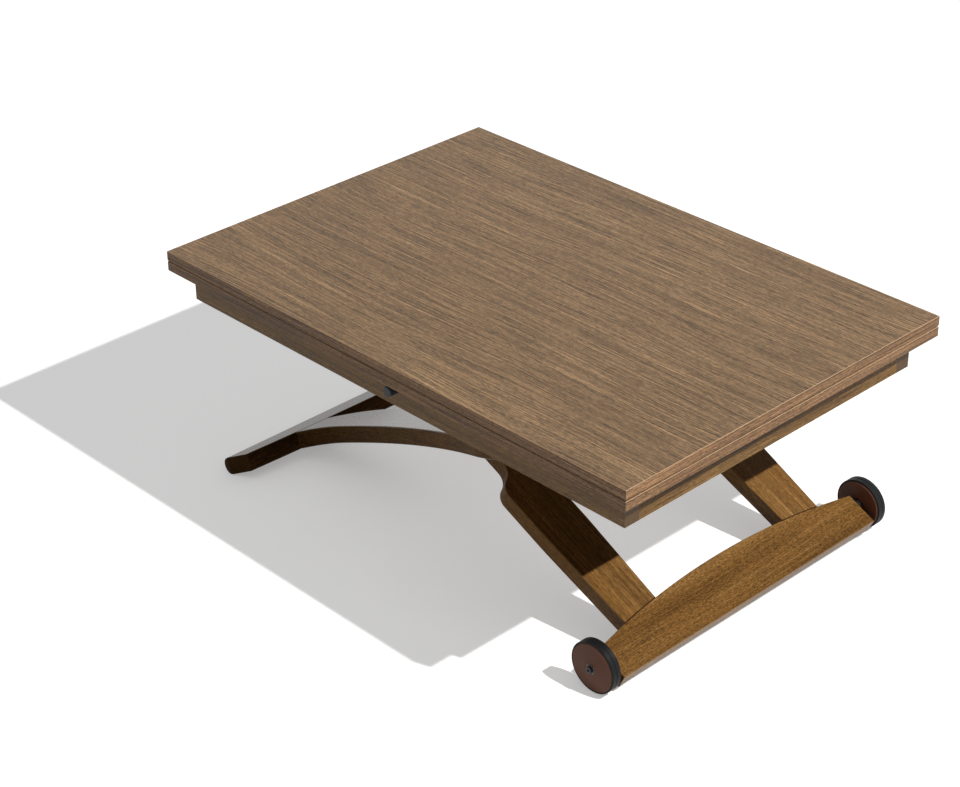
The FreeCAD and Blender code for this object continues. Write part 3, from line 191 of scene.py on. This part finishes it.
# Glued staves: light and dark staves in turn, each from its own place in the log, with a thin
# glue line.
log_reach = (3.0, 3.0, 3.0)
glued_staves, given, out = new_group(
    "glued_staves", [("Vector", "Vector", None), ("Width", "Float", 0.1), ("First", "Float", 0.014)],
    [("Vector", "Vector"), ("Shade", "Float"), ("Line", "Float")])
tree = glued_staves
across = parts_of(tree, given["Vector"])[1]
past_first = calc(tree, "SUBTRACT", calc(tree, "ABSOLUTE", across), given["First"])
counted = calc(tree, "DIVIDE", past_first, given["Width"])
stave = calc(tree, "FLOOR", counted)
light_stave = calc(tree, "FRACT", calc(tree, "MULTIPLY", calc(tree, "ADD", stave, 1.0), 0.5))
draw_place = node(tree, "CombineXYZ", {0: stave, 1: calc(tree, "SIGN", across)}).outputs[0]
draw = node(tree, "TexWhiteNoise", {"Vector": draw_place}, noise_dimensions="3D")
moved = vector_calc(tree, "MULTIPLY", draw.outputs["Color"], log_reach)
from_line = calc(tree, "ABSOLUTE", calc(tree, "SUBTRACT", calc(tree, "FRACT", counted), 0.5))
join(tree, out, Shade=calc(tree, "MULTIPLY", light_stave, 2.0), Line=fade(tree, from_line, 0.49, 0.497),
     Vector=vector_calc(tree, "ADD", given["Vector"], moved))

# Leg joint: a mask for the narrow gap where the wheel legs' ends butt against the bow of the bar,
# measured down the board's slope from the axle. Painted shade darkens the gap.
axle_x, axle_z = 0.456, 0.046
wheel_tilt = math.radians(25.7)
bow_radius = 1.5439
bow_middle = -0.051
leg_inner, leg_outer = 0.158, 0.246
gap_reach = 0.0016
gap_end = 0.001
down_board = Vector((math.cos(wheel_tilt), 0.0, -math.sin(wheel_tilt)))
leg_joint, given, out = new_group("leg_joint", [("Vector", "Vector", None)], [("Mask", "Float")])
tree = leg_joint
from_axle = vector_calc(tree, "SUBTRACT", given["Vector"], (axle_x, 0.0, axle_z))
down_slope = node(tree, "VectorMath", {0: from_axle, 1: down_board},
                  operation="DOT_PRODUCT").outputs["Value"]
aside = parts_of(tree, given["Vector"])[1]
aside_squared = calc(tree, "MULTIPLY", aside, aside)
bow_depth = calc(tree, "SQRT", calc(tree, "SUBTRACT", bow_radius ** 2, aside_squared))
off_bow = calc(tree, "ADD", calc(tree, "SUBTRACT", down_slope, bow_middle + bow_radius), bow_depth)
near_bow = fade(tree, calc(tree, "ABSOLUTE", off_bow), gap_reach, gap_reach / 2)
leg_middle = (leg_inner + leg_outer) / 2
half_leg = (leg_outer - leg_inner) / 2
off_leg = calc(tree, "ABSOLUTE", calc(tree, "SUBTRACT", calc(tree, "ABSOLUTE", aside), leg_middle))
on_leg = fade(tree, off_leg, half_leg + gap_end, half_leg - gap_end)
join(tree, out, Mask=calc(tree, "MULTIPLY", near_bow, on_leg))


def new_material(name, **plain):
    """A material with its shader, whose plain values are set on the sockets."""
    material = bpy.data.materials.new(name)
    material.use_nodes = True
    shader = material.node_tree.nodes["Principled BSDF"]
    for socket, value in plain.items():
        shader.inputs[socket.replace("_", " ")].default_value = value
    return material, material.node_tree, shader


def turned_to_grain(tree, turn, offset):
    """Places and normals in the board's own axes, with the grain along X and the face along Z."""
    spot = node(tree, "TexCoord")
    vector = node(tree, "Mapping",
                  {"Vector": spot.outputs["Object"], "Location": offset, "Rotation": turn})
    facing = node(tree, "Mapping", {"Vector": spot.outputs["Normal"], "Rotation": turn},
                  vector_type="NORMAL")
    return vector.outputs[0], facing.outputs[0]


def facing_share(tree, part):
    """1 on the sides that look along an axis, either way, from that part of their normal."""
    return fade(tree, calc(tree, "ABSOLUTE", part), 0.6, 0.8)


def finish_surface(tree, shader, colour, skin, strength, depth):
    """Leads colour, and a group's roughness and height, to the shader."""
    bump = node(tree, "Bump", {"Strength": strength, "Distance": depth, "Height": skin.outputs["Height"]})
    tree.links.new(colour, shader.inputs["Base Color"])
    tree.links.new(skin.outputs["Roughness"], shader.inputs["Roughness"])
    tree.links.new(bump.outputs[0], shader.inputs["Normal"])


# Paler eased arris: partly a painted highlight of the lit bevels, partly paler wear.
arris_highlight_and_wear = 0.45
dark_stave, stave_step, glue_dark = 0.88, 0.26, 0.5
# Painted shade in the gap at the leg joints, nearly black.
gap_shade_share = 0.8
gap_shade_colour = (0.012, 0.006, 0.003, 1.0)


def board_wood(name, turn, offset, colours, staves=False, streak=0.5, pore=0.4, pore_length=60.0,
               line=0.8, fleck=1.0, fleck_length=250.0, cloud=0.0, sheen=0.2, lacquer=0.0,
               edge_lacquer=0.0, end_dark=0.6, joint=False):
    """Oiled wood for one board; lacquer lies on its faces and edge_lacquer on its long edges."""
    material, tree, shader = new_material(name, Specular_IOR_Level=sheen, Coat_Roughness=0.16)
    vector, facing = turned_to_grain(tree, turn, offset)
    dark, middle, light = colours
    if staves:
        stave = node(tree, "Group", {"Vector": vector}, node_tree=glued_staves)
        vector = stave.outputs["Vector"]
    figure = node(tree, "Group", {"Vector": vector, "Dark": dark, "Middle": middle, "Light": light,
                                  "Streak": streak, "Pore": pore, "Pore Length": pore_length,
                                  "Line": line, "Fleck": fleck, "Fleck Length": fleck_length,
                                  "Cloud": cloud},
                  node_tree=walnut_figure)
    colour = figure.outputs["Color"]
    if staves:
        shade = calc(tree, "ADD", dark_stave, calc(tree, "MULTIPLY", stave.outputs["Shade"], stave_step))
        colour = mix(tree, 1.0, colour, shade, "MULTIPLY")
        colour = mix(tree, calc(tree, "MULTIPLY", stave.outputs["Line"], glue_dark), colour, dark)
    arris = node(tree, "Group", {"Normal": facing}, node_tree=eased_arris).outputs["Mask"]
    arris = calc(tree, "MULTIPLY", arris, arris_highlight_and_wear)
    # At the leg joints, painted shade fills the gap and the painted arris highlight is left off.
    if joint:
        spot = node(tree, "TexCoord").outputs["Object"]
        seam = node(tree, "Group", {"Vector": spot}, node_tree=leg_joint).outputs["Mask"]
        arris = calc(tree, "MULTIPLY", arris, calc(tree, "SUBTRACT", 1.0, seam))
        colour = mix(tree, calc(tree, "MULTIPLY", seam, gap_shade_share), colour, gap_shade_colour)
    # The arris is lightened: partly painted highlight, partly paler wear.
    colour = mix(tree, arris, colour, light)
    lengthwise, crosswise, upright = parts_of(tree, facing)
    for part, weight in ((upright, lacquer), (crosswise, edge_lacquer)):
        if weight:
            coat = calc(tree, "MULTIPLY", facing_share(tree, part), weight)
            tree.links.new(coat, shader.inputs["Coat Weight"])
    end_grain = calc(tree, "MULTIPLY", facing_share(tree, lengthwise), end_dark)
    colour = mix(tree, end_grain, colour, dark)
    finish_surface(tree, shader, colour, figure, strength=0.25, depth=0.0004)
    return material


def dress(material, *names):
    """Gives CAD nodes a finish of their own."""
    for name in names:
        slots = nodes[name].data.materials
        slots.clear()
        slots.append(material)


QUARTER = math.pi / 2
golden_brown = ((0.062, 0.027, 0.006, 1.0), (0.147, 0.071, 0.018, 1.0), (0.24, 0.126, 0.04, 1.0))
dress(board_wood("wheel_bar_wood", (0.0, -wheel_tilt, -QUARTER), (0.3, 0.0, 0.2), golden_brown,
                 streak=0.3, pore=0.25, line=1.5, fleck=3.9, fleck_length=150.0, cloud=0.35, sheen=0.07,
                 edge_lacquer=0.24, joint=True),
      "wheel_bar")


sharp_angle = math.radians(25.0)


def linked_piece(name, shape, material, body):
    """An object made from a shape, which goes along with a body and has the given material in its slot."""
    mesh = bpy.data.meshes.new(name)
    shape.to_mesh(mesh)
    shape.free()
    mesh.polygons.foreach_set("use_smooth", [True] * len(mesh.polygons))
    mesh.set_sharp_from_angle(angle=sharp_angle)
    mesh.materials.append(material)
    piece = bpy.data.objects.new(name, mesh)
    bpy.context.scene.collection.objects.link(piece)
    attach(piece, body)
    return piece


def copied_shape(original):
    """A CAD node's mesh, to be changed without touching the node."""
    source = nodes[original].data
    shape = bmesh.new()
    corners = [shape.verts.new(vertex.co) for vertex in source.vertices]
    for polygon in source.polygons:
        shape.faces.new([corners[index] for index in polygon.vertices])
    bmesh.ops.remove_doubles(shape, verts=shape.verts, dist=1e-6)
    return shape


# The lower front edge comes forward: its places down the board from the axle and off the board.
hollow_edge, hollow_under = 0.037, -0.019
front_edge, front_under = 0.043, -0.0165
close = 0.0005
off_board = Vector((math.sin(wheel_tilt), 0.0, math.cos(wheel_tilt)))
shape = copied_shape("wheel_bar")
for vertex in shape.verts:
    offset = vertex.co - Vector((axle_x, 0.0, axle_z))
    from_edge = abs(offset.dot(down_board) - hollow_edge)
    from_under = abs(offset.dot(off_board) - hollow_under)
    if from_edge < close and from_under < close:
        vertex.co += down_board * (front_edge - hollow_edge) + off_board * (front_under - hollow_under)
bar_wood = nodes["wheel_bar"].data.materials[0]
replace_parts(linked_piece("squared_wheel_bar", shape, bar_wood, "wheel_frame"), "wheel_bar")

# Wheel legs: two legs glued up from staves and dowelled to the bar, with the same stain and
# oil. Their grain follows the slope.
light_golden = ((0.082, 0.036, 0.009, 1.0), (0.185, 0.091, 0.025, 1.0), (0.3, 0.16, 0.053, 1.0))
for leg, place, colours in (("near", 0.1, golden_brown), ("far", 0.9, light_golden)):
    dress(board_wood("wheel_leg_wood_" + leg, (0.0, -wheel_tilt, 0.0), (place, 0.0, 0.0), colours,
                     staves=True, streak=0.35, pore=0.25, line=2.0, fleck=2.8, fleck_length=110.0,
                     sheen=0.1, joint=True),
          "wheel_leg_" + leg)

# Foot bar: the narrow board with a round nose on which the other frame stands and turns. It is
# of the same wood, lacquered, and its ends are sawn at a slant.
foot_tilt = math.radians(24.07)
dress(board_wood("foot_bar_wood", (0.0, foot_tilt, -QUARTER), (1.7, 0.4, 0.0), golden_brown,
                 streak=0.3, pore=0.25, line=2.0, fleck=2.8, fleck_length=110.0, sheen=0.05, lacquer=0.9),
      "foot_bar")
nose = Vector((-0.458, 0.0, 0.0165))
up_foot = Vector((math.cos(foot_tilt), 0.0, math.sin(foot_tilt)))
foot_half = 0.346
slant_from, slant_run, slant_back = -0.004, 0.04, 0.017
shape = copied_shape("foot_bar")
for side in (-1.0, 1.0):
    corner = nose + up_foot * slant_from + Vector((0.0, side * foot_half, 0.0))
    outward = up_foot * slant_back + Vector((0.0, side * slant_run, 0.0))
    everything = [*shape.verts, *shape.edges, *shape.faces]
    bmesh.ops.bisect_plane(shape, geom=everything, dist=1e-6, plane_co=corner,
                           plane_no=outward.normalized(), clear_outer=True)
    bmesh.ops.holes_fill(shape, edges=[edge for edge in shape.edges if edge.is_boundary])
bar_wood = nodes["foot_bar"].data.materials[0]
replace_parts(linked_piece("slanted_foot_bar", shape, bar_wood, "foot_frame"), "foot_bar")

# Foot legs: they flare out of the foot bar, sweep outwards and pass outside the wheel legs. They
# are glued up from staves, dowelled to the bar and lacquered like it.
dress(board_wood("foot_leg_wood", (0.0, foot_tilt, 0.0), (2.3, 0.0, 0.0), golden_brown, staves=True,
                 streak=0.35, pore=0.25, line=2.0, fleck=2.8, fleck_length=110.0, sheen=0.05, lacquer=0.9),
      "foot_leg_near", "foot_leg_far")

# Dowels, corner blocks and swivel board: plain planed beech inside the frame, left raw. They are
# glued in, and the board spans the apron.
pale_beech = ((0.36, 0.23, 0.11, 1.0), (0.5, 0.35, 0.19, 1.0), (0.6, 0.44, 0.26, 1.0))
dress(board_wood("beech_blocks", (0.0, 0.0, 0.0), (0.0, 0.7, 0.0), pale_beech,
                 pore=0.2, pore_length=160.0),
      "corner_blocks", "wheel_leg_dowels", "foot_leg_dowels")
dress(board_wood("beech_board", (0.0, 0.0, -QUARTER), (0.5, 0.0, 0.0), pale_beech,
                 pore=0.2, pore_length=160.0),
      "swivel_board")

# Apron: two long rails that run through and two short ones between them, in the same wood as
# the scissor frames. The ends of the long rails show darker end grain at the corners.
apron_brown = ((0.07, 0.036, 0.013, 1.0), (0.172, 0.093, 0.031, 1.0), (0.26, 0.15, 0.055, 1.0))
dress(board_wood("long_rail_wood", (0.0, 0.0, 0.0), (0.0, 1.3, 0.0), apron_brown,
                 streak=0.6, line=2.4, fleck=2.4, fleck_length=120.0, end_dark=0.85),
      "near_long_rail", "far_long_rail")
dress(board_wood("end_rail_wood", (0.0, 0.0, -QUARTER), (0.8, 0.0, 0.0), apron_brown,
                 streak=0.45, line=2.4, fleck=2.4, fleck_length=120.0, sheen=0.1),
      "wheel_end_rail", "foot_end_rail")

# Shafts, flanges, collars, tracks, swivel and lock: turned and folded mild steel, bright but
# dulled, with fine tool marks. They are screwed and pinned to the wood.
blotch_stretch = (60.0, 60.0, 60.0)
scratch_stretch = (300.0, 2400.0, 300.0)
tool_marks, given, out = new_group(
    "tool_marks", [("Vector", "Vector", None), ("Base", "Color", WHITE), ("Dull", "Color", WHITE)],
    [("Color", "Color"), ("Roughness", "Float"), ("Height", "Float")])
tree = tool_marks
blotches = noise(tree, given["Vector"], blotch_stretch, 4.0, 0.6)
join(tree, out, Color=mix(tree, fade(tree, blotches, 0.4, 0.7), given["Base"], given["Dull"]),
     Roughness=calc(tree, "ADD", 0.26, calc(tree, "MULTIPLY", blotches, 0.24)),
     Height=noise(tree, given["Vector"], scratch_stretch, 2.0))


def metal(name, base, dull, metallic=1.0):
    """Bare or blackened metal in a clean and a duller colour."""
    material, tree, shader = new_material(name, Metallic=metallic)
    spot = node(tree, "TexCoord").outputs["Object"]
    marks = node(tree, "Group", {"Vector": spot, "Base": base, "Dull": dull}, node_tree=tool_marks)
    finish_surface(tree, shader, marks.outputs["Color"], marks, strength=0.15, depth=0.0002)
    return material


dress(metal("mild_steel", (0.56, 0.56, 0.57, 1.0), (0.42, 0.41, 0.4, 1.0)),
      "lift_shaft", "roller_shaft", "shaft_flanges", "shaft_collars", "roller_collars", "track_near",
      "track_far", "swivel_plate", "swivel_stop_pin", "swivel_washer", "swivel_nut", "lock_disc",
      "lock_disc_screws", "lock_pin", "release_link", "release_rod", "release_spring", "hinge_pins")

# Axle with its spacers, washers and socket bolts, and the pins on which the frames cross: turned
# steel with a black oxide skin.
dress(metal("black_oxide", (0.022, 0.022, 0.024, 1.0), (0.05, 0.048, 0.047, 1.0), 0.6),
      "wheel_axle", "axle_spacers", "axle_washers", "axle_bolts", "crossing_pins", "crossing_nuts",
      "crossing_washers")

# Hinge plates: stamped from brushed brass and let into the leaves along the far edge, flush with
# their faces.
hinge_brass = metal("brushed_brass", (0.62, 0.46, 0.2, 1.0), (0.45, 0.31, 0.12, 1.0))
dress(hinge_brass, "hinge_plates_lower", "hinge_plates_upper")

# Hinge screws: countersunk brass screws with a cross recess, three to a plate, their heads
# just proud of it.
hinge_spots = (-0.4, 0.0, 0.4)
hinge_line = 0.3803
screw_spread = ((-0.022, -0.011), (0.0, -0.022), (0.022, -0.011))
screw_radius = 0.0031
rim_share = 0.9
screw_proud = 0.0002
recess_share = 0.15
cross_arm, cross_half = 0.0019, 0.00045
lower_plate_top, upper_plate_under = 0.4162, 0.4174


def circle(radius, corners=24):
    """Corners round a circle."""
    turns = [corner * 2.0 * math.pi / corners for corner in range(corners)]
    return [(radius * math.cos(turn), radius * math.sin(turn)) for turn in turns]


def cross_outline():
    """The twelve corners of the recess for the driver."""
    outline = []
    for x, y in ((1.0, 0.0), (0.0, 1.0), (-1.0, 0.0), (0.0, -1.0)):
        for along, aside in ((cross_arm, -cross_half), (cross_arm, cross_half), (cross_half, cross_half)):
            outline.append((x * along - y * aside, y * along + x * aside))
    return outline


def screw_heads(name, body, plate_face, outwards):
    """The heads on one leaf's plates, which look up or down."""
    shape = bmesh.new()
    for hinge_x in hinge_spots:
        for off_x, off_y in screw_spread:
            middle = Vector((hinge_x + off_x, hinge_line + off_y, plate_face))
            loops = []
            for outline, rise in ((circle(screw_radius), 0.0), (circle(screw_radius * rim_share), 1.0),
                                  (cross_outline(), 1.0), (cross_outline(), recess_share)):
                lift = outwards * rise * screw_proud
                loops.append([shape.verts.new(middle + Vector((x, y, lift))) for x, y in outline])
            skirt, rim, mouth, recess = loops
            for first, second in ((skirt, rim), (mouth, recess)):
                for step in range(len(first)):
                    shape.faces.new((first[step - 1], first[step], second[step], second[step - 1]))
            shape.faces.new(recess)
            face_edges = [shape.edges.get((loop[step - 1], loop[step])) for loop in (rim, mouth)
                          for step in range(len(loop))]
            bmesh.ops.triangle_fill(shape, edges=face_edges, use_beauty=True)
    bmesh.ops.recalc_face_normals(shape, faces=shape.faces)
    linked_piece(name, shape, hinge_brass, body)


screw_heads("hinge_screws_lower", "lower_leaf", lower_plate_top, 1.0)
screw_heads("hinge_screws_upper", "upper_leaf", upper_plate_under, -1.0)

# Wheels: discs moulded in brown plastic with a bevelled rim, black rubber tyres with a groove
# round the tread, and nylon bushes.
scuff_stretch = (28.0, 28.0, 28.0)
moulded_skin, given, out = new_group(
    "moulded_skin", [("Vector", "Vector", None), ("Base", "Color", WHITE), ("Scuffed", "Color", WHITE),
                     ("Grain", "Float", 1800.0), ("Gloss", "Float", 0.45)],
    [("Color", "Color"), ("Roughness", "Float"), ("Height", "Float")])
tree = moulded_skin
scuffs = noise(tree, given["Vector"], scuff_stretch, 4.0, 0.6)
grain_stretch = node(tree, "CombineXYZ", {0: given["Grain"], 1: given["Grain"], 2: given["Grain"]})
join(tree, out, Color=mix(tree, fade(tree, scuffs, 0.42, 0.75), given["Base"], given["Scuffed"]),
     Roughness=calc(tree, "ADD", given["Gloss"], calc(tree, "MULTIPLY", scuffs, 0.16)),
     Height=noise(tree, given["Vector"], grain_stretch.outputs[0], 1.0))


def moulded(name, base, scuffed, gloss, grain=1800.0, bump_strength=0.2, sheen=0.25):
    """Plastic, rubber or felt in a clean and a scuffed colour; grain is bumps to the metre."""
    material, tree, shader = new_material(name, Specular_IOR_Level=sheen)
    spot = node(tree, "TexCoord").outputs["Object"]
    skin = node(tree, "Group", {"Vector": spot, "Base": base, "Scuffed": scuffed, "Gloss": gloss,
                                "Grain": grain},
                node_tree=moulded_skin)
    finish_surface(tree, shader, skin.outputs["Color"], skin, strength=bump_strength, depth=0.0002)
    return material


dress(moulded("wheel_brown", (0.118, 0.044, 0.023, 1.0), (0.13, 0.05, 0.027, 1.0), 0.45, sheen=0.2),
      "wheel_disc_near", "wheel_disc_far")
dress(moulded("tyre_rubber", (0.008, 0.0085, 0.0095, 1.0), (0.014, 0.0145, 0.016, 1.0), 0.42,
              grain=900.0, bump_strength=0.35, sheen=0.12),
      "tyre_near", "tyre_far")
dress(moulded("bare_nylon", (0.72, 0.7, 0.64, 1.0), (0.62, 0.59, 0.52, 1.0), 0.4),
      "wheel_bush_near", "wheel_bush_far", "track_rollers", "top_glides")

# Release knob: a small turned button of dark grey plastic, screwed to the rod that comes out
# through the near rail.
dress(moulded("knob_grey", (0.028, 0.033, 0.04, 1.0), (0.045, 0.05, 0.058, 1.0), 0.38), "release_knob")

# Pads between the leaves: small squares of pressed brown felt, glued to the lower leaf so that
# the upper one comes down softly.
dress(moulded("pressed_felt", (0.1, 0.08, 0.065, 1.0), (0.16, 0.13, 0.11, 1.0), 0.8,
              grain=2600.0, bump_strength=0.8),
      "leaf_pads")


# Leaves: two boards faced with walnut veneer whose grain runs along the table, each with strips
# of paler solid edging whose grain follows the edge. The lacquer is satin.
def veneered_leaf(name, offset):
    """Veneer on the faces, edging round them, and a pale arris that is a painted highlight."""
    arris_highlight_colour = (0.5, 0.33, 0.2, 1.0)
    arris_highlight_share = 0.75
    material, tree, shader = new_material(name, Specular_IOR_Level=0.2)
    vector, facing = turned_to_grain(tree, (0.0, 0.0, 0.0), offset)
    face = node(tree, "Group", {"Vector": vector, "Dark": (0.13, 0.077, 0.037, 1.0),
                                "Middle": (0.204, 0.126, 0.065, 1.0),
                                "Light": (0.32, 0.204, 0.107, 1.0), "Sway": 0.05, "Streak": 0.75,
                                "Pore": 0.38, "Pore Length": 30.0, "Line": 4.2, "Fleck": 3.4,
                                "Fleck Length": 110.0},
                node_tree=walnut_figure)
    facing_x, _, facing_z = parts_of(tree, facing)
    along_y = node(tree, "Mapping", {"Vector": vector, "Rotation": (0.0, 0.0, -QUARTER)}).outputs[0]
    on_end = fade(tree, calc(tree, "ABSOLUTE", facing_x), 0.6, 0.72)
    on_edge = fade(tree, calc(tree, "ABSOLUTE", facing_z), 0.72, 0.6)
    along_edge = mix(tree, on_end, vector, along_y)
    edging = node(tree, "Group", {"Vector": along_edge, "Dark": (0.1, 0.05, 0.021, 1.0),
                                  "Middle": (0.214, 0.113, 0.05, 1.0),
                                  "Light": (0.31, 0.175, 0.085, 1.0), "Sway": 0.004, "Streak": 1.0,
                                  "Pore": 0.35, "Pore Length": 40.0, "Line": 3.0, "Fleck": 3.4,
                                  "Fleck Length": 150.0},
                  node_tree=walnut_figure)
    arris = node(tree, "Group", {"Normal": facing}, node_tree=eased_arris).outputs["Mask"]
    colour = mix(tree, on_edge, face.outputs["Color"], edging.outputs["Color"])
    # Painted highlight: the arris is mixed towards a pale colour.
    colour = mix(tree, calc(tree, "MULTIPLY", arris, arris_highlight_share), colour, arris_highlight_colour)
    finish_surface(tree, shader, colour, face, strength=0.2, depth=0.0003)
    return material


dress(veneered_leaf("lower_leaf_veneer", (3.1, 0.6, 0.0)), "lower_leaf")
dress(veneered_leaf("upper_leaf_veneer", (0.0, 0.0, 0.0)), "upper_leaf")

# Floor: a wide pale sheet, white to the eye where the light falls and grey in the shadow. A lift
# of its brightness makes it so, and far off it is all white. The lift is less under the pieces that touch
# it, which paints contact shade round them.
floor_half = 25.0
floor_drop = 0.0004
floor_mesh = bpy.data.meshes.new("floor")
floor_mesh.from_pydata(
    [(x * floor_half, y * floor_half, -floor_drop) for x, y in ((-1, -1), (1, -1), (1, 1), (-1, 1))],
    [], [(0, 1, 2, 3)])
floor = bpy.data.objects.new("floor", floor_mesh)
bpy.context.scene.collection.objects.link(floor)


def seen_rays(tree):
    """1 for the rays that show the backdrop itself, and 0 for those that carry its light."""
    path = node(tree, "LightPath")
    seen = calc(tree, "ADD", path.outputs["Is Camera Ray"], path.outputs["Is Glossy Ray"], clamp=True)
    return calc(tree, "ADD", seen, path.outputs["Is Transmission Ray"], clamp=True)


floor_material, tree, floor_shader = new_material("floor_paper", Roughness=0.9, Specular_IOR_Level=0.0)
floor_shader.inputs["Base Color"].default_value = (0.68, 0.68, 0.68, 1.0)
floor_shader.inputs["Emission Color"].default_value = WHITE
floor_lift = 0.545
# Painted contact shade: the lift falls where the pieces hem the floor in.
contact_reach = 0.3
painted_contact_shade = 0.45
open_share = node(tree, "AmbientOcclusion", {"Distance": contact_reach}).outputs["AO"]
least_lift = floor_lift * (1.0 - painted_contact_shade)
lifted = node(tree, "MapRange", {0: open_share, 3: least_lift, 4: floor_lift}).outputs[0]
far_from, far_to = 1.7, 4.0
floor_spot = node(tree, "TexCoord").outputs["Object"]
from_table = node(tree, "VectorMath", {0: floor_spot}, operation="LENGTH").outputs["Value"]
lifted = calc(tree, "MAXIMUM", lifted, fade(tree, from_table, far_from, far_to))
tree.links.new(calc(tree, "MULTIPLY", seen_rays(tree), lifted), floor_shader.inputs["Emission Strength"])
floor_mesh.materials.append(floor_material)

# Studio light: one small lamp over the wheel end, as bright far off as near, and a white room
# that gives a little fill, mostly from the foot end.
lamp_data = bpy.data.lights.new("key_lamp", "POINT")
lamp_data.energy = 50.0  # watts
lamp_data.shadow_soft_size = 0.045
lamp_data.color = (1.0, 0.98, 0.94)
lamp_data.use_nodes = True
tree = lamp_data.node_tree
steady = node(tree, "LightFalloff", {"Strength": 1.0}).outputs["Constant"]
tree.links.new(steady, tree.nodes["Emission"].inputs["Strength"])
lamp = bpy.data.objects.new("key_lamp", lamp_data)
lamp.location = (3.64, 0.63, 4.25)
bpy.context.scene.collection.objects.link(lamp)
world = bpy.data.worlds.new("studio")
world.use_nodes = True
bpy.context.scene.world = world
tree = world.node_tree
dim_wall = 0.04
fill_wall = 0.19
cool_fill = (0.97, 0.985, 1.0, 1.0)
heading = parts_of(tree, node(tree, "TexCoord").outputs["Generated"])[0]
room_light = node(tree, "MapRange", {0: heading, 1: 0.2, 2: -0.9, 3: dim_wall, 4: fill_wall}).outputs[0]
seen = seen_rays(tree)
strength = node(tree, "MapRange", {0: seen, 3: room_light, 4: 1.0}).outputs[0]
tree.links.new(strength, tree.nodes["Background"].inputs["Strength"])
tree.links.new(mix(tree, seen, cool_fill, WHITE), tree.nodes["Background"].inputs["Color"])

# Camera: the photograph's place, high at the wheel end, with a long lens. It is placed from the
# middle of the closed top.
azimuth = math.radians(46.43)
elevation = math.radians(30.24)
roll = math.radians(-0.70)
distance = 3.9504
aim_right = -0.1076
aim_up = -0.1879
table_top = Vector((0.0, 0.0, cad_box[1][2]))
right = Vector((math.cos(azimuth), math.sin(azimuth), 0.0))
back = Vector((math.sin(azimuth) * math.cos(elevation), -math.cos(azimuth) * math.cos(elevation),
               math.sin(elevation)))
up = back.cross(right)
eye = table_top + right * aim_right + up * aim_up + back * distance
tilted_right = right * math.cos(roll) + up * math.sin(roll)
tilted_up = up * math.cos(roll) - right * math.sin(roll)
camera_data = bpy.data.cameras.new("camera")
camera_data.lens = 86.9
camera_data.sensor_width = 36.0
camera = bpy.data.objects.new("camera", camera_data)
turn = Matrix((tilted_right, tilted_up, back)).transposed().to_4x4()
camera.matrix_world = Matrix.Translation(eye) @ turn
bpy.context.scene.collection.objects.link(camera)
bpy.context.scene.camera = camera
bpy.context.scene.view_settings.view_transform = "Standard"
